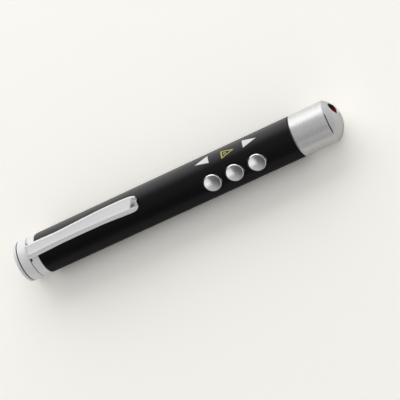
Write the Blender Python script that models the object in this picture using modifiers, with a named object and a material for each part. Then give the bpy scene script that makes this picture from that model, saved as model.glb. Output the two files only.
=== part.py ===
"""Pen-style laser pointer with three keys, a pocket clip and a screw-off tail cap.

The pen lies along X with its tail face at the origin, its nose towards +X and its clip
on +Z. Every piece of the real object is a separate closed solid. Sizes are in metres.
"""

import math

import bmesh
import bpy
from mathutils import Matrix, Vector

# Fits and tolerances shared by all pieces
GAP = 0.0003
OVERRUN = 0.0010
WELD = 0.00001
MM_PER_M = 1000
FOLD_ANGLE = math.radians(35.0)

# Outer shell
BODY_DIAMETER = 0.0160
BARREL_LENGTH = 0.10713
BARREL_WALL = 0.0008
EDGE_CHAMFER = 0.0002

# Turned nose with its shallow dome
NOSE_BAND = 0.01333
DOME_HEIGHT = 0.0044
NOSE_CHAMFER = 0.00035
NOSE_SPIGOT = 0.0042
NOSE_SPIGOT_WALL = 0.0010
NOSE_POCKET_DEPTH = 0.0015

# Tail: end plug, screw cap and the sleeve that stays on the barrel
PLUG_THICKNESS = 0.00135
PLUG_FILLET = 0.0008
PLUG_RIM = 0.0038
PLUG_NECK = 0.0016
CAP_BAND = 0.00403
CAP_WEB = 0.0010
CAP_SPIGOT_WALL = 0.0010
CAP_SPIGOT = 0.0068
SLEEVE_BAND = 0.00332
SLEEVE_SPIGOT = 0.0047
SLEEVE_SPIGOT_WALL = 0.0007
SLEEVE_LIP = 0.0004
SLEEVE_SEAT_DEPTH = 0.0012

# Pocket clip, pressed from spring steel strip
CLIP_LENGTH = 0.0478
CLIP_WIDTH = 0.00506
CLIP_RISE = 0.00304
CLIP_LEAN = 0.00095
CLIP_FLANGE = 0.0026
CLIP_DISH = 0.0008
CLIP_SHEET = 0.0005
CLIP_FOLD = 0.00014
CLIP_TAB_DEPTH = 0.0016
CLIP_RELIEF = 0.0005
RING_THICKNESS = 0.0006
RING_WIDTH = 0.0008

# AAA cell and its insulating tube
CELL_DIAMETER = 0.0105
CELL_CAN_LENGTH = 0.0437
CELL_NUB_RADIUS = 0.0019
CELL_NUB_LENGTH = 0.0008
CELL_BEAD_DEPTH = 0.0003
CELL_BEAD_SETBACK = 0.0024

# Contacts at both ends of the cell
SEAT_THICKNESS = 0.0004
SEAT_PIP_RADIUS = 0.0012
SEAT_PIP_HEIGHT = 0.0006
SPRING_WIRE = 0.0005
SPRING_BASE_MARGIN = 0.0009
SPRING_TOP_RADIUS = 0.0022
SPRING_LENGTH = 0.0090
SPRING_TURNS = 6
CONTACT_RADIUS = 0.0032
CONTACT_THICKNESS = 0.0005
CONTACT_PIN_RADIUS = 0.0006
CONTACT_PIN_RISE = 0.0009
CONTACT_PIN_SIDE = 0.0011
CONTACT_PIN_REACH = 0.0012

# Plastic carrier under the circuit board
CARRIER_BULKHEAD = 0.0020
CARRIER_WALL = 0.0012
CARRIER_END_WALL = 0.0012

# Circuit board, hung below the key frame
BOARD_THICKNESS = 0.0010
BOARD_EDGE_MARGIN = 0.0006
BOARD_SETBACK = 0.0015
CARRIER_OVERHANG = 0.0012
LEAD_SPAN = 0.0039

# Keys: dished metal caps that press tact switches
BUTTON_ANGLE = math.radians(38.0)
BUTTON_SETBACK = 0.0247
BUTTON_PITCH = 0.00915
BUTTON_RADIUS = 0.0033
BUTTON_RISE = 0.0005
BUTTON_BEVEL = 0.0002
BUTTON_DISH = 0.0004
BUTTON_FLANGE_SPREAD = 0.0006
BUTTON_FLANGE_DEPTH = 0.0017
BUTTON_STEM_RADIUS = 0.0016
BUTTON_TRAVEL = 0.0004
STOP_CLEARANCE = 0.0002

# Frame that guides the key stems
FRAME_PLATE = 0.0010
FRAME_EDGE_MARGIN = 0.00024
FRAME_LEG = 0.0010
FRAME_END_MARGIN = 0.0053

# Tact switches under the keys
SWITCH_SIDE = 0.0045
SWITCH_HEIGHT = 0.0021
SWITCH_HEADROOM = 0.0012
SWITCH_BEVEL = 0.0002
PLUNGER_RADIUS = 0.0010
PLUNGER_LENGTH = 0.0011
PLUNGER_CHAMFER = 0.00015

# Parts soldered to the board: length, width and height of each
CONTROLLER_SIZE = (0.0065, 0.0044, 0.0010)
RADIO_SIZE = (0.0040, 0.0040, 0.0009)
BOOST_SIZE = (0.0029, 0.0016, 0.0011)
CRYSTAL_SIZE = (0.0080, 0.0038, 0.0025)
INDUCTOR_SIZE = (0.0040, 0.0040, 0.0019)
CAPACITOR_SIZE = (0.0035, 0.0028, 0.0019)
CHIP_BEVEL = 0.0002
CRYSTAL_ROUND = 0.0012
SIDE_PART_MARGIN = 0.0008
SIDE_PART_SETBACK = 0.0032

# Leaf spring that earths the board to the barrel
LEAF_THICKNESS = 0.00025
LEAF_WIDTH = 0.0014
LEAF_SIDE = -0.0003
LEAF_LENGTH = 0.0044
LEAF_POINTS = 16
LEAF_ROUTE_SHARES = (
    (0.00, 0.00), (0.30, 0.00), (0.52, 0.12), (0.40, 0.45), (0.45, 0.80), (0.70, 1.00),
    (0.95, 0.88),
)

# Laser module in the nose
LASER_ANGLE = math.radians(-48.0)
LASER_MARGIN = 0.0006
APERTURE_RADIUS = 0.00235
APERTURE_DEPTH = 0.00116
HOUSING_RADIUS = 0.0024
HOUSING_WALL = 0.0004
HOUSING_LENGTH = 0.0159
HOUSING_TAIL = 0.0044
HOUSING_TAIL_BORE = 0.0015
BEZEL_WALL = 0.0005
BEZEL_RECESS = 0.0002
WINDOW_THICKNESS = 0.0007
DIODE_FLANGE_RADIUS = 0.0017
DIODE_FLANGE = 0.0009
DIODE_CAN_RADIUS = 0.0012
DIODE_CAN = 0.0018
DIODE_LEAD_RADIUS = 0.0002
DIODE_LEAD_OFFSET = 0.0007
DIODE_LEAD_REACH = 0.0010
LENS_SPRING_WIRE = 0.00024
LENS_SPRING_LENGTH = 0.0030
LENS_SPRING_RADIUS = 0.0014
LENS_SPRING_TURNS = 4
LENS_EDGE = 0.0009
LENS_CROWN = 0.0005
LENS_NUT_LENGTH = 0.0022
LENS_NUT_BORE = 0.0010
LENS_NUT_SLOT = 0.0004
DRIVER_BOARD_THICKNESS = 0.0008
DRIVER_BOARD_RADIUS = 0.0023

# Insulated leads
LEAD_RADIUS = 0.00035
LEAD_SIDE_OFFSET = 0.0011
LEAD_PAD_POSITIVE = -0.0006
LEAD_PAD_NEGATIVE = 0.0030
LEAD_PAD_SETBACK = 0.0016
LEAD_CURVE_POINTS = 14

# Counts of facets and of points
BODY_STEPS = 56
INNER_STEPS = 32
SMALL_STEPS = 18
PIN_STEPS = 10
DOME_RINGS = 7
FILLET_RINGS = 4
DISH_RINGS = 4
SPRING_POINTS = 9
LENS_SPRING_POINTS = 8
BEVEL_SEGMENTS = 2

# Radii that follow from the sizes above
BODY_RADIUS = BODY_DIAMETER / 2
BORE_RADIUS = BODY_RADIUS - BARREL_WALL
LINER_RADIUS = BORE_RADIUS - GAP
CELL_RADIUS = CELL_DIAMETER / 2
NOSE_POCKET_RADIUS = LINER_RADIUS - NOSE_SPIGOT_WALL
SLEEVE_BORE_RADIUS = LINER_RADIUS - SLEEVE_SPIGOT_WALL
CAP_SPIGOT_RADIUS = SLEEVE_BORE_RADIUS - GAP
CAP_BORE_RADIUS = CAP_SPIGOT_RADIUS - CAP_SPIGOT_WALL
SPRING_BASE_RADIUS = CAP_BORE_RADIUS - SPRING_BASE_MARGIN
PLUG_NECK_RADIUS = BODY_RADIUS - PLUG_RIM
SLEEVE_SEAT_RADIUS = BODY_RADIUS - SLEEVE_LIP
RING_RADIUS = SLEEVE_SEAT_RADIUS - GAP
DOME_RADIUS = (BODY_RADIUS ** 2 + DOME_HEIGHT ** 2) / (2 * DOME_HEIGHT)
LASER_OFFSET = LINER_RADIUS - HOUSING_RADIUS - LASER_MARGIN

# Stations along the pen, measured from the tail face
CAP_REAR = PLUG_THICKNESS + GAP
CAP_FRONT = CAP_REAR + CAP_BAND
SLEEVE_REAR = CAP_FRONT + GAP
CLIP_ROOT = SLEEVE_REAR
SLEEVE_FRONT = SLEEVE_REAR + SLEEVE_BAND
BARREL_REAR = SLEEVE_FRONT + GAP
BARREL_FRONT = BARREL_REAR + BARREL_LENGTH
NOSE_REAR = BARREL_FRONT + GAP
DOME_BASE = NOSE_REAR + NOSE_BAND
NOSE_TIP = DOME_BASE + DOME_HEIGHT
PLUG_SOCKET_FLOOR = CAP_REAR + PLUG_NECK
CAP_BORE_FLOOR = PLUG_SOCKET_FLOOR + CAP_WEB
SEAT_REAR = CAP_BORE_FLOOR + GAP
SPRING_REAR = SEAT_REAR + SEAT_THICKNESS + GAP
CELL_REAR = SPRING_REAR + SPRING_LENGTH + GAP
CELL_FRONT = CELL_REAR + CELL_CAN_LENGTH + CELL_NUB_LENGTH
CONTACT_REAR = CELL_FRONT + GAP
BULKHEAD_REAR = CONTACT_REAR + CONTACT_THICKNESS + GAP
BULKHEAD_FRONT = BULKHEAD_REAR + CARRIER_BULKHEAD
TUBE_REAR = SLEEVE_FRONT + SLEEVE_SPIGOT + GAP
TUBE_FRONT = BULKHEAD_REAR - GAP
RING_REAR = SLEEVE_REAR + GAP
HOUSING_FRONT = DOME_BASE - APERTURE_DEPTH - GAP
HOUSING_REAR = HOUSING_FRONT - HOUSING_LENGTH
DIODE_SEAT = HOUSING_REAR + HOUSING_TAIL + GAP
DRIVER_FRONT = HOUSING_REAR - DIODE_LEAD_REACH - GAP
DRIVER_REAR = DRIVER_FRONT - DRIVER_BOARD_THICKNESS
BOARD_REAR = BULKHEAD_FRONT + BOARD_SETBACK
BOARD_FRONT = DRIVER_REAR - LEAD_SPAN
CARRIER_FRONT = BOARD_FRONT + CARRIER_OVERHANG
BUTTON_MIDDLE = BARREL_FRONT - BUTTON_SETBACK
FRAME_REAR = BUTTON_MIDDLE - BUTTON_PITCH - FRAME_END_MARGIN
FRAME_FRONT = BUTTON_MIDDLE + BUTTON_PITCH + FRAME_END_MARGIN

# Levels above the pen's axis, along the direction in which the keys face
BUTTON_TOP = BODY_RADIUS + BUTTON_RISE
FLANGE_BOTTOM = LINER_RADIUS - BUTTON_FLANGE_DEPTH
FRAME_TOP = FLANGE_BOTTOM - BUTTON_TRAVEL - STOP_CLEARANCE
FRAME_UNDERSIDE = FRAME_TOP - FRAME_PLATE
SWITCH_TOP = FRAME_UNDERSIDE - SWITCH_HEADROOM
SWITCH_BOTTOM = SWITCH_TOP - SWITCH_HEIGHT
BOARD_TOP = SWITCH_BOTTOM - GAP
BOARD_BOTTOM = BOARD_TOP - BOARD_THICKNESS
CARRIER_TOP = BOARD_BOTTOM - GAP
CONTACT_PIN_LEVEL = BOARD_TOP + CONTACT_PIN_RISE
PLUNGER_TOP = SWITCH_TOP + BUTTON_TRAVEL
PLUNGER_BOTTOM = PLUNGER_TOP - PLUNGER_LENGTH
SWITCH_WELL = PLUNGER_BOTTOM - BUTTON_TRAVEL - GAP
STEM_BOTTOM = PLUNGER_TOP + GAP

# Half widths of what fits across the bore at its level
BOARD_WIDEST_LEVEL = max(abs(BOARD_TOP), abs(BOARD_BOTTOM))
BOARD_HALF_WIDTH = math.sqrt(LINER_RADIUS ** 2 - BOARD_WIDEST_LEVEL ** 2) - BOARD_EDGE_MARGIN
FRAME_HALF_WIDTH = math.sqrt(LINER_RADIUS ** 2 - FRAME_TOP ** 2) - FRAME_EDGE_MARGIN

# Clip sections from root to tip, as shares of its length, half width, rise above the
# barrel, lean of each flange, depth of each flange and depth of the dish at the tip
CLIP_SECTION_SHARES = (
    (0.000, 0.84, 0.46, 0.74, 0.40, 0.0),
    (0.011, 0.84, 0.57, 0.80, 0.54, 0.0),
    (0.040, 0.84, 0.60, 0.84, 0.60, 0.0),
    (0.120, 0.81, 0.61, 0.82, 0.62, 0.0),
    (0.290, 0.75, 0.66, 0.76, 0.60, 0.0),
    (0.420, 0.79, 0.78, 0.72, 0.60, 0.0),
    (0.560, 0.86, 0.87, 0.66, 0.60, 0.0),
    (0.710, 0.93, 0.92, 0.60, 0.64, 0.0),
    (0.870, 0.97, 0.83, 0.68, 0.84, 0.0),
    (0.945, 0.95, 0.73, 0.70, 0.84, 0.0),
    (0.960, 0.92, 0.69, 0.68, 0.80, 1.0),
    (0.980, 0.85, 0.60, 0.60, 0.66, 0.8),
    (1.000, 0.60, 0.48, 0.45, 0.32, 0.4),
)
CLIP_DISH_SHARE = 0.62
CLIP_NECK_SHARE = 0.80
CLIP_RELIEF_SHARE = 1.34

# Finish of each kind of surface: colour, roughness and metallic value
FINISHES = {
    "black_paint": ((0.020, 0.020, 0.023), 0.34, 0.0),
    "satin_metal": ((0.78, 0.78, 0.79), 0.30, 1.0),
    "spring_steel": ((0.82, 0.82, 0.83), 0.24, 1.0),
    "nickel": ((0.70, 0.69, 0.66), 0.28, 1.0),
    "brass": ((0.72, 0.55, 0.24), 0.30, 1.0),
    "black_plastic": ((0.015, 0.015, 0.016), 0.50, 0.0),
    "white_plastic": ((0.80, 0.80, 0.78), 0.50, 0.0),
    "board_green": ((0.03, 0.22, 0.10), 0.45, 0.0),
    "chip_black": ((0.03, 0.03, 0.03), 0.60, 0.0),
    "ferrite": ((0.12, 0.11, 0.11), 0.75, 0.0),
    "tantalum": ((0.80, 0.55, 0.12), 0.55, 0.0),
    "cell_wrap": ((0.10, 0.22, 0.42), 0.35, 0.0),
    "red_window": ((0.35, 0.02, 0.02), 0.08, 0.0),
    "clear_lens": ((0.86, 0.88, 0.90), 0.05, 0.0),
    "red_insulation": ((0.60, 0.03, 0.03), 0.50, 0.0),
    "black_insulation": ((0.02, 0.02, 0.02), 0.50, 0.0),
}


def clear_scene():
    """Remove whatever the opened file holds."""
    for existing in list(bpy.data.objects):
        bpy.data.objects.remove(existing, do_unlink=True)


def make_collection(name):
    """Return a new collection linked to the scene."""
    collection = bpy.data.collections.new(name)
    bpy.context.scene.collection.children.link(collection)
    return collection


clear_scene()
PARTS = make_collection("laser_pointer")
CUTTERS = make_collection("cutters")


def make_material(name, finish):
    """Principled material of one piece, in the named finish."""
    colour, roughness, metallic = FINISHES[finish]
    material = bpy.data.materials.new(name)
    material.use_nodes = True
    shader = material.node_tree.nodes["Principled BSDF"]
    shader.inputs["Base Color"].default_value = (*colour, 1.0)
    shader.inputs["Roughness"].default_value = roughness
    shader.inputs["Metallic"].default_value = metallic
    return material


def make_empty(name, parent=None, location=(0.0, 0.0, 0.0), angle=0.0):
    """Guide that carries pieces; angle turns it about the pen's axis."""
    empty = bpy.data.objects.new(name, None)
    PARTS.objects.link(empty)
    empty.parent = parent
    empty.location = location
    empty.rotation_euler = (angle, 0.0, 0.0)
    return empty


def add_piece(name, data, finish, parent=None):
    """Link a visible piece with its own material."""
    piece = bpy.data.objects.new(name, data)
    PARTS.objects.link(piece)
    piece.parent = parent
    piece.data.materials.append(make_material(name + "_finish", finish))
    return piece


def add_cutter(name, data, parent=None):
    """Link a solid that only cuts, joins or trims others."""
    cutter = bpy.data.objects.new(name, data)
    CUTTERS.objects.link(cutter)
    cutter.parent = parent
    cutter.hide_render = True
    cutter.display_type = 'WIRE'
    return cutter


def combine(piece, tool, operation='DIFFERENCE'):
    """Boolean of a piece with a cutter or a joined form."""
    modifier = piece.modifiers.new(operation.title(), 'BOOLEAN')
    modifier.operation = operation
    modifier.solver = 'EXACT'
    modifier.object = tool


def profile_mesh(name, points, closed=False):
    """Outline of a turned form from (station, radius) pairs, front to rear outside."""
    vertices = [(radius, 0.0, station) for station, radius in points]
    edges = [(i, i + 1) for i in range(len(vertices) - 1)]
    if closed:
        edges.append((len(vertices) - 1, 0))
    mesh = bpy.data.meshes.new(name)
    mesh.from_pydata(vertices, edges, [])
    return mesh


def turn(piece, steps):
    """Screw modifier that turns an outline once about its own Z."""
    screw = piece.modifiers.new("Turn", 'SCREW')
    screw.axis = 'Z'
    screw.steps = steps
    screw.render_steps = steps
    screw.use_merge_vertices = True
    screw.merge_threshold = WELD
    screw.use_smooth_shade = True


def lay_along_pen(piece, steps=0):
    """Point the turned form's Z along +X, with a facet, not a corner, underneath."""
    half_facet = math.pi / steps if steps else 0.0
    rotation = Matrix.Rotation(math.pi / 2, 4, 'Y') @ Matrix.Rotation(half_facet, 4, 'Z')
    piece.matrix_basis = Matrix.Translation(piece.location) @ rotation


def turned_piece(name, points, finish, steps, closed=False, parent=None, upright=False):
    """Piece of revolution along the pen, or along its parent's Z when upright."""
    piece = add_piece(name, profile_mesh(name, points, closed), finish, parent)
    turn(piece, steps)
    if not upright:
        lay_along_pen(piece, steps)
    return piece


def turned_cutter(name, points, steps, parent=None, upright=False):
    """Solid of revolution used as a tool."""
    cutter = add_cutter(name, profile_mesh(name, points), parent)
    turn(cutter, steps)
    if not upright:
        lay_along_pen(cutter, steps)
    return cutter


def cylinder_points(rear, front, radius):
    """Outline of a plain solid cylinder."""
    return [(front, 0.0), (front, radius), (rear, radius), (rear, 0.0)]


def ring_points(rear, front, outer, inner):
    """Outline of a plain ring, to be closed."""
    return [(front, inner), (front, outer), (rear, outer), (rear, inner)]


def box_mesh(name, low, high):
    """Box between two corners."""
    mesh = bpy.data.meshes.new(name)
    sizes = [high[axis] - low[axis] for axis in range(3)]
    centre = [(high[axis] + low[axis]) / 2 for axis in range(3)]
    matrix = Matrix.Translation(centre) @ Matrix.Diagonal((*sizes, 1.0))
    form = bmesh.new()
    bmesh.ops.create_cube(form, size=1.0, matrix=matrix)
    form.to_mesh(mesh)
    form.free()
    return mesh


def bevel(piece, width):
    """Round the edges that fold sharply."""
    modifier = piece.modifiers.new("Bevel", 'BEVEL')
    modifier.width = width
    modifier.segments = BEVEL_SEGMENTS
    modifier.limit_method = 'ANGLE'
    modifier.angle_limit = FOLD_ANGLE
    modifier.use_clamp_overlap = True


def block_piece(name, low, high, finish, parent, round_width=0.0):
    """Box-shaped piece with softened edges."""
    piece = add_piece(name, box_mesh(name, low, high), finish, parent)
    if round_width:
        bevel(piece, round_width)
    return piece


def dome_station(radius, inset=0.0):
    """Station of the nose's domed face at a distance from the axis."""
    centre = NOSE_TIP - DOME_RADIUS
    return centre + math.sqrt((DOME_RADIUS - inset) ** 2 - radius ** 2)


def dome_points(outer, inset=0.0):
    """Outline of the domed face, from the tip outwards."""
    radii = [outer * ring / DOME_RINGS for ring in range(DOME_RINGS + 1)]
    return [(dome_station(radius, inset), radius) for radius in radii]


def helix_points(rear, front, start_radius, end_radius, turns, per_turn):
    """Points of a coil along the pen whose radius changes evenly."""
    count = turns * per_turn
    points = []
    for index in range(count + 1):
        share = index / count
        angle = 2 * math.pi * index / per_turn
        radius = start_radius + (end_radius - start_radius) * share
        station = rear + (front - rear) * share
        points.append(Vector((station, radius * math.cos(angle), radius * math.sin(angle))))
    return points


def smallest_coil_gap(points, per_turn, wire):
    """Least clear distance between a coil's neighbouring turns."""
    gaps = []
    for index, point in enumerate(points):
        for other in points[index + per_turn // 2 + 1:]:
            gaps.append((other - point).length - wire)
    return min(gaps)


def smooth_route(points, count):
    """Even steps along a smooth curve through hand-placed points."""
    knots = [Vector(point) for point in points]
    first = 2 * knots[0] - knots[1]
    last = 2 * knots[-1] - knots[-2]
    padded = [first, *knots, last]
    route = []
    for index in range(count):
        place = index * (len(knots) - 1) / (count - 1)
        span = min(int(place), len(knots) - 2)
        t = place - span
        a, b, c, d = padded[span:span + 4]
        route.append((2 * b + (c - a) * t + (2 * a - 5 * b + 4 * c - d) * t ** 2
                      + (3 * b - a - 3 * c + d) * t ** 3) / 2)
    return route


def wire_piece(name, points, radius, finish, parent=None, resolution=2):
    """Round wire along a list of points."""
    curve = bpy.data.curves.new(name, 'CURVE')
    curve.dimensions = '3D'
    curve.bevel_depth = radius
    curve.bevel_resolution = resolution
    curve.use_fill_caps = True
    spline = curve.splines.new('POLY')
    spline.points.add(len(points) - 1)
    for knot, point in zip(spline.points, points):
        knot.co = (*point, 1.0)
    return add_piece(name, curve, finish, parent)


def make_barrel(key_axis):
    """Black tube with a round hole for each key."""
    edge = EDGE_CHAMFER
    points = [
        (BARREL_FRONT, BORE_RADIUS),
        (BARREL_FRONT, BODY_RADIUS - edge),
        (BARREL_FRONT - edge, BODY_RADIUS),
        (BARREL_REAR + edge, BODY_RADIUS),
        (BARREL_REAR, BODY_RADIUS - edge),
        (BARREL_REAR, BORE_RADIUS),
    ]
    barrel = turned_piece("barrel", points, "black_paint", BODY_STEPS, closed=True)
    for name, station in button_stations():
        outline = cylinder_points(FLANGE_BOTTOM, BUTTON_TOP + OVERRUN, BUTTON_RADIUS + GAP)
        hole = turned_cutter("hole_" + name, outline, INNER_STEPS, key_axis, upright=True)
        hole.location.x = station
        combine(barrel, hole)


def button_stations():
    """Name and station of each key, from the tail to the nose."""
    names = ("previous", "laser", "next")
    return [(name, BUTTON_MIDDLE + (index - 1) * BUTTON_PITCH)
            for index, name in enumerate(names)]


def make_nose(laser_axis):
    """Turned nose with its dome, spigot, rear pocket and off-centre laser bore."""
    points = dome_points(BODY_RADIUS)
    points += [
        (NOSE_REAR + NOSE_CHAMFER, BODY_RADIUS),
        (NOSE_REAR, BODY_RADIUS - NOSE_CHAMFER),
        (NOSE_REAR, LINER_RADIUS),
        (NOSE_REAR - NOSE_SPIGOT, LINER_RADIUS),
        (NOSE_REAR - NOSE_SPIGOT, NOSE_POCKET_RADIUS),
        (NOSE_REAR + NOSE_POCKET_DEPTH, NOSE_POCKET_RADIUS),
        (NOSE_REAR + NOSE_POCKET_DEPTH, 0.0),
    ]
    nose = turned_piece("nose_cap", points, "satin_metal", BODY_STEPS)
    bore_floor = HOUSING_FRONT + GAP
    bore_rear = NOSE_REAR - NOSE_SPIGOT - OVERRUN
    bore_radius = HOUSING_RADIUS + GAP
    bore_outline = [
        (NOSE_TIP + OVERRUN, 0.0),
        (NOSE_TIP + OVERRUN, APERTURE_RADIUS),
        (bore_floor, APERTURE_RADIUS),
        (bore_floor, bore_radius),
        (bore_rear, bore_radius),
        (bore_rear, 0.0),
    ]
    combine(nose, turned_cutter("laser_bore", bore_outline, INNER_STEPS, laser_axis))


def make_aperture(laser_axis):
    """Black liner cut to the dome, with the window seated behind it."""
    window_rear = HOUSING_FRONT + 2 * GAP
    window_front = window_rear + WINDOW_THICKNESS
    outer = APERTURE_RADIUS - GAP
    turned_piece("aperture_window", cylinder_points(window_rear, window_front, outer),
                 "red_window", SMALL_STEPS, parent=laser_axis)
    liner = ring_points(window_front + GAP, NOSE_TIP, outer, outer - BEZEL_WALL)
    bezel = turned_piece("aperture_bezel", liner, "black_plastic", SMALL_STEPS,
                         closed=True, parent=laser_axis)
    trim = dome_points(BODY_RADIUS - BEZEL_RECESS, BEZEL_RECESS)
    trim += [(HOUSING_FRONT, BODY_RADIUS - BEZEL_RECESS), (HOUSING_FRONT, 0.0)]
    combine(bezel, turned_cutter("dome_trim", trim, BODY_STEPS), 'INTERSECT')


def make_laser_module(laser_axis):
    """Brass housing that holds the diode, lens spring, lens and lens nut."""
    bore = HOUSING_RADIUS - HOUSING_WALL
    seat = HOUSING_REAR + HOUSING_TAIL
    housing = [
        (HOUSING_FRONT, bore),
        (HOUSING_FRONT, HOUSING_RADIUS - EDGE_CHAMFER),
        (HOUSING_FRONT - EDGE_CHAMFER, HOUSING_RADIUS),
        (HOUSING_REAR, HOUSING_RADIUS),
        (HOUSING_REAR, HOUSING_TAIL_BORE),
        (seat, HOUSING_TAIL_BORE),
        (seat, bore),
    ]
    turned_piece("laser_housing", housing, "brass", INNER_STEPS, closed=True,
                 parent=laser_axis)
    flange_front = DIODE_SEAT + DIODE_FLANGE
    can_front = flange_front + DIODE_CAN
    diode_outline = [
        (can_front, 0.0),
        (can_front, DIODE_CAN_RADIUS),
        (flange_front, DIODE_CAN_RADIUS),
        (flange_front, DIODE_FLANGE_RADIUS),
        (DIODE_SEAT, DIODE_FLANGE_RADIUS),
        (DIODE_SEAT, 0.0),
    ]
    diode = turned_piece("laser_diode", diode_outline, "nickel", SMALL_STEPS,
                         parent=laser_axis)
    lead_rear = HOUSING_REAR - DIODE_LEAD_REACH
    lead_front = DIODE_SEAT + DIODE_FLANGE / 2
    for side in (-1, 1):
        outline = cylinder_points(lead_rear, lead_front, DIODE_LEAD_RADIUS)
        lead = turned_cutter("diode_lead", outline, PIN_STEPS, laser_axis)
        lead.matrix_basis = Matrix.Translation((0.0, side * DIODE_LEAD_OFFSET, 0.0)) @ lead.matrix_basis
        combine(diode, lead, 'UNION')
    spring_rear = can_front + GAP
    spring_front = spring_rear + LENS_SPRING_LENGTH
    wire = LENS_SPRING_WIRE / 2
    coil = helix_points(spring_rear + wire, spring_front - wire, LENS_SPRING_RADIUS,
                        LENS_SPRING_RADIUS, LENS_SPRING_TURNS, LENS_SPRING_POINTS)
    wire_piece("lens_spring", coil, wire, "spring_steel", laser_axis, resolution=1)
    print("least gap in lens_spring, mm:",
          round(MM_PER_M * smallest_coil_gap(coil, LENS_SPRING_POINTS, LENS_SPRING_WIRE), 3))
    fit = bore - GAP
    lens_rear = spring_front + GAP
    lens_front = lens_rear + LENS_EDGE + LENS_CROWN
    crown_radius = (fit ** 2 + LENS_CROWN ** 2) / (2 * LENS_CROWN)
    crown = []
    for ring in range(DISH_RINGS + 1):
        radius = fit * ring / DISH_RINGS
        drop = crown_radius - math.sqrt(crown_radius ** 2 - radius ** 2)
        crown.append((lens_front - drop, radius))
    lens = crown + [(lens_rear, fit), (lens_rear, 0.0)]
    turned_piece("laser_lens", lens, "clear_lens", SMALL_STEPS, parent=laser_axis)
    nut_rear = lens_front + GAP
    nut_front = nut_rear + LENS_NUT_LENGTH
    nut = turned_piece("lens_nut", ring_points(nut_rear, nut_front, fit, LENS_NUT_BORE),
                       "brass", SMALL_STEPS, closed=True, parent=laser_axis)
    low = (nut_front - LENS_NUT_SLOT, -LENS_NUT_SLOT / 2, -HOUSING_RADIUS)
    high = (nut_front + OVERRUN, LENS_NUT_SLOT / 2, HOUSING_RADIUS)
    combine(nut, add_cutter("nut_slot", box_mesh("nut_slot", low, high), laser_axis))
    turned_piece("laser_driver_board",
                 cylinder_points(DRIVER_REAR, DRIVER_FRONT, DRIVER_BOARD_RADIUS),
                 "board_green", SMALL_STEPS, parent=laser_axis)


def make_keys(key_axis):
    """Dished keys with retaining flanges, each on its own guide at the key's axis."""
    rim = BUTTON_RADIUS - BUTTON_BEVEL
    skirt_end = FLANGE_BOTTOM + BUTTON_FLANGE_DEPTH / 2
    flange_radius = BUTTON_RADIUS + BUTTON_FLANGE_SPREAD
    dish_radius = (rim ** 2 + BUTTON_DISH ** 2) / (2 * BUTTON_DISH)
    for name, station in button_stations():
        key = make_empty("key_" + name, key_axis, (station, 0.0, 0.0))
        dish = []
        for ring in range(DISH_RINGS + 1):
            radius = rim * ring / DISH_RINGS
            climb = dish_radius - math.sqrt(dish_radius ** 2 - radius ** 2)
            dish.append((BUTTON_TOP - BUTTON_DISH + climb, radius))
        cap = dish + [
            (BUTTON_TOP - BUTTON_BEVEL, BUTTON_RADIUS),
            (skirt_end, BUTTON_RADIUS),
            (skirt_end, BUTTON_STEM_RADIUS),
            (STEM_BOTTOM, BUTTON_STEM_RADIUS),
            (STEM_BOTTOM, 0.0),
        ]
        button = turned_piece("button_" + name, cap, "satin_metal", INNER_STEPS,
                              parent=key, upright=True)
        flange = turned_cutter("flange_" + name,
                               cylinder_points(FLANGE_BOTTOM, BORE_RADIUS, flange_radius),
                               INNER_STEPS, key, upright=True)
        bore = turned_cutter("flange_trim_" + name,
                             cylinder_points(-BUTTON_PITCH, BUTTON_PITCH, LINER_RADIUS),
                             BODY_STEPS, key)
        combine(flange, bore, 'INTERSECT')
        combine(button, flange, 'UNION')
        plunger = [
            (PLUNGER_TOP, 0.0),
            (PLUNGER_TOP, PLUNGER_RADIUS - PLUNGER_CHAMFER),
            (PLUNGER_TOP - PLUNGER_CHAMFER, PLUNGER_RADIUS),
            (PLUNGER_BOTTOM, PLUNGER_RADIUS),
            (PLUNGER_BOTTOM, 0.0),
        ]
        turned_piece("plunger_" + name, plunger, "black_plastic", SMALL_STEPS,
                     parent=key, upright=True)


def make_switches(key_axis):
    """Tact switch housings on the board, each with a well for its plunger."""
    half = SWITCH_SIDE / 2
    for name, station in button_stations():
        switch = block_piece("switch_" + name, (station - half, -half, SWITCH_BOTTOM),
                             (station + half, half, SWITCH_TOP), "nickel", key_axis,
                             SWITCH_BEVEL)
        outline = cylinder_points(SWITCH_WELL, SWITCH_TOP + OVERRUN, PLUNGER_RADIUS + GAP)
        well = turned_cutter("well_" + name, outline, SMALL_STEPS, key_axis, upright=True)
        well.location.x = station
        combine(switch, well)


def make_button_frame(key_axis):
    """Inverted channel over the switches that guides the three stems."""
    width = FRAME_HALF_WIDTH
    frame = block_piece("button_frame", (FRAME_REAR, -width, SWITCH_BOTTOM),
                        (FRAME_FRONT, width, FRAME_TOP), "black_plastic", key_axis)
    inner = width - FRAME_LEG
    low = (FRAME_REAR - OVERRUN, -inner, SWITCH_BOTTOM - OVERRUN)
    high = (FRAME_FRONT + OVERRUN, inner, FRAME_UNDERSIDE)
    combine(frame, add_cutter("frame_channel", box_mesh("frame_channel", low, high), key_axis))
    for name, station in button_stations():
        outline = cylinder_points(FRAME_UNDERSIDE - OVERRUN, FRAME_TOP + OVERRUN,
                                  BUTTON_STEM_RADIUS + GAP)
        guide = turned_cutter("guide_" + name, outline, SMALL_STEPS, key_axis, upright=True)
        guide.location.x = station
        combine(frame, guide)


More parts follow.
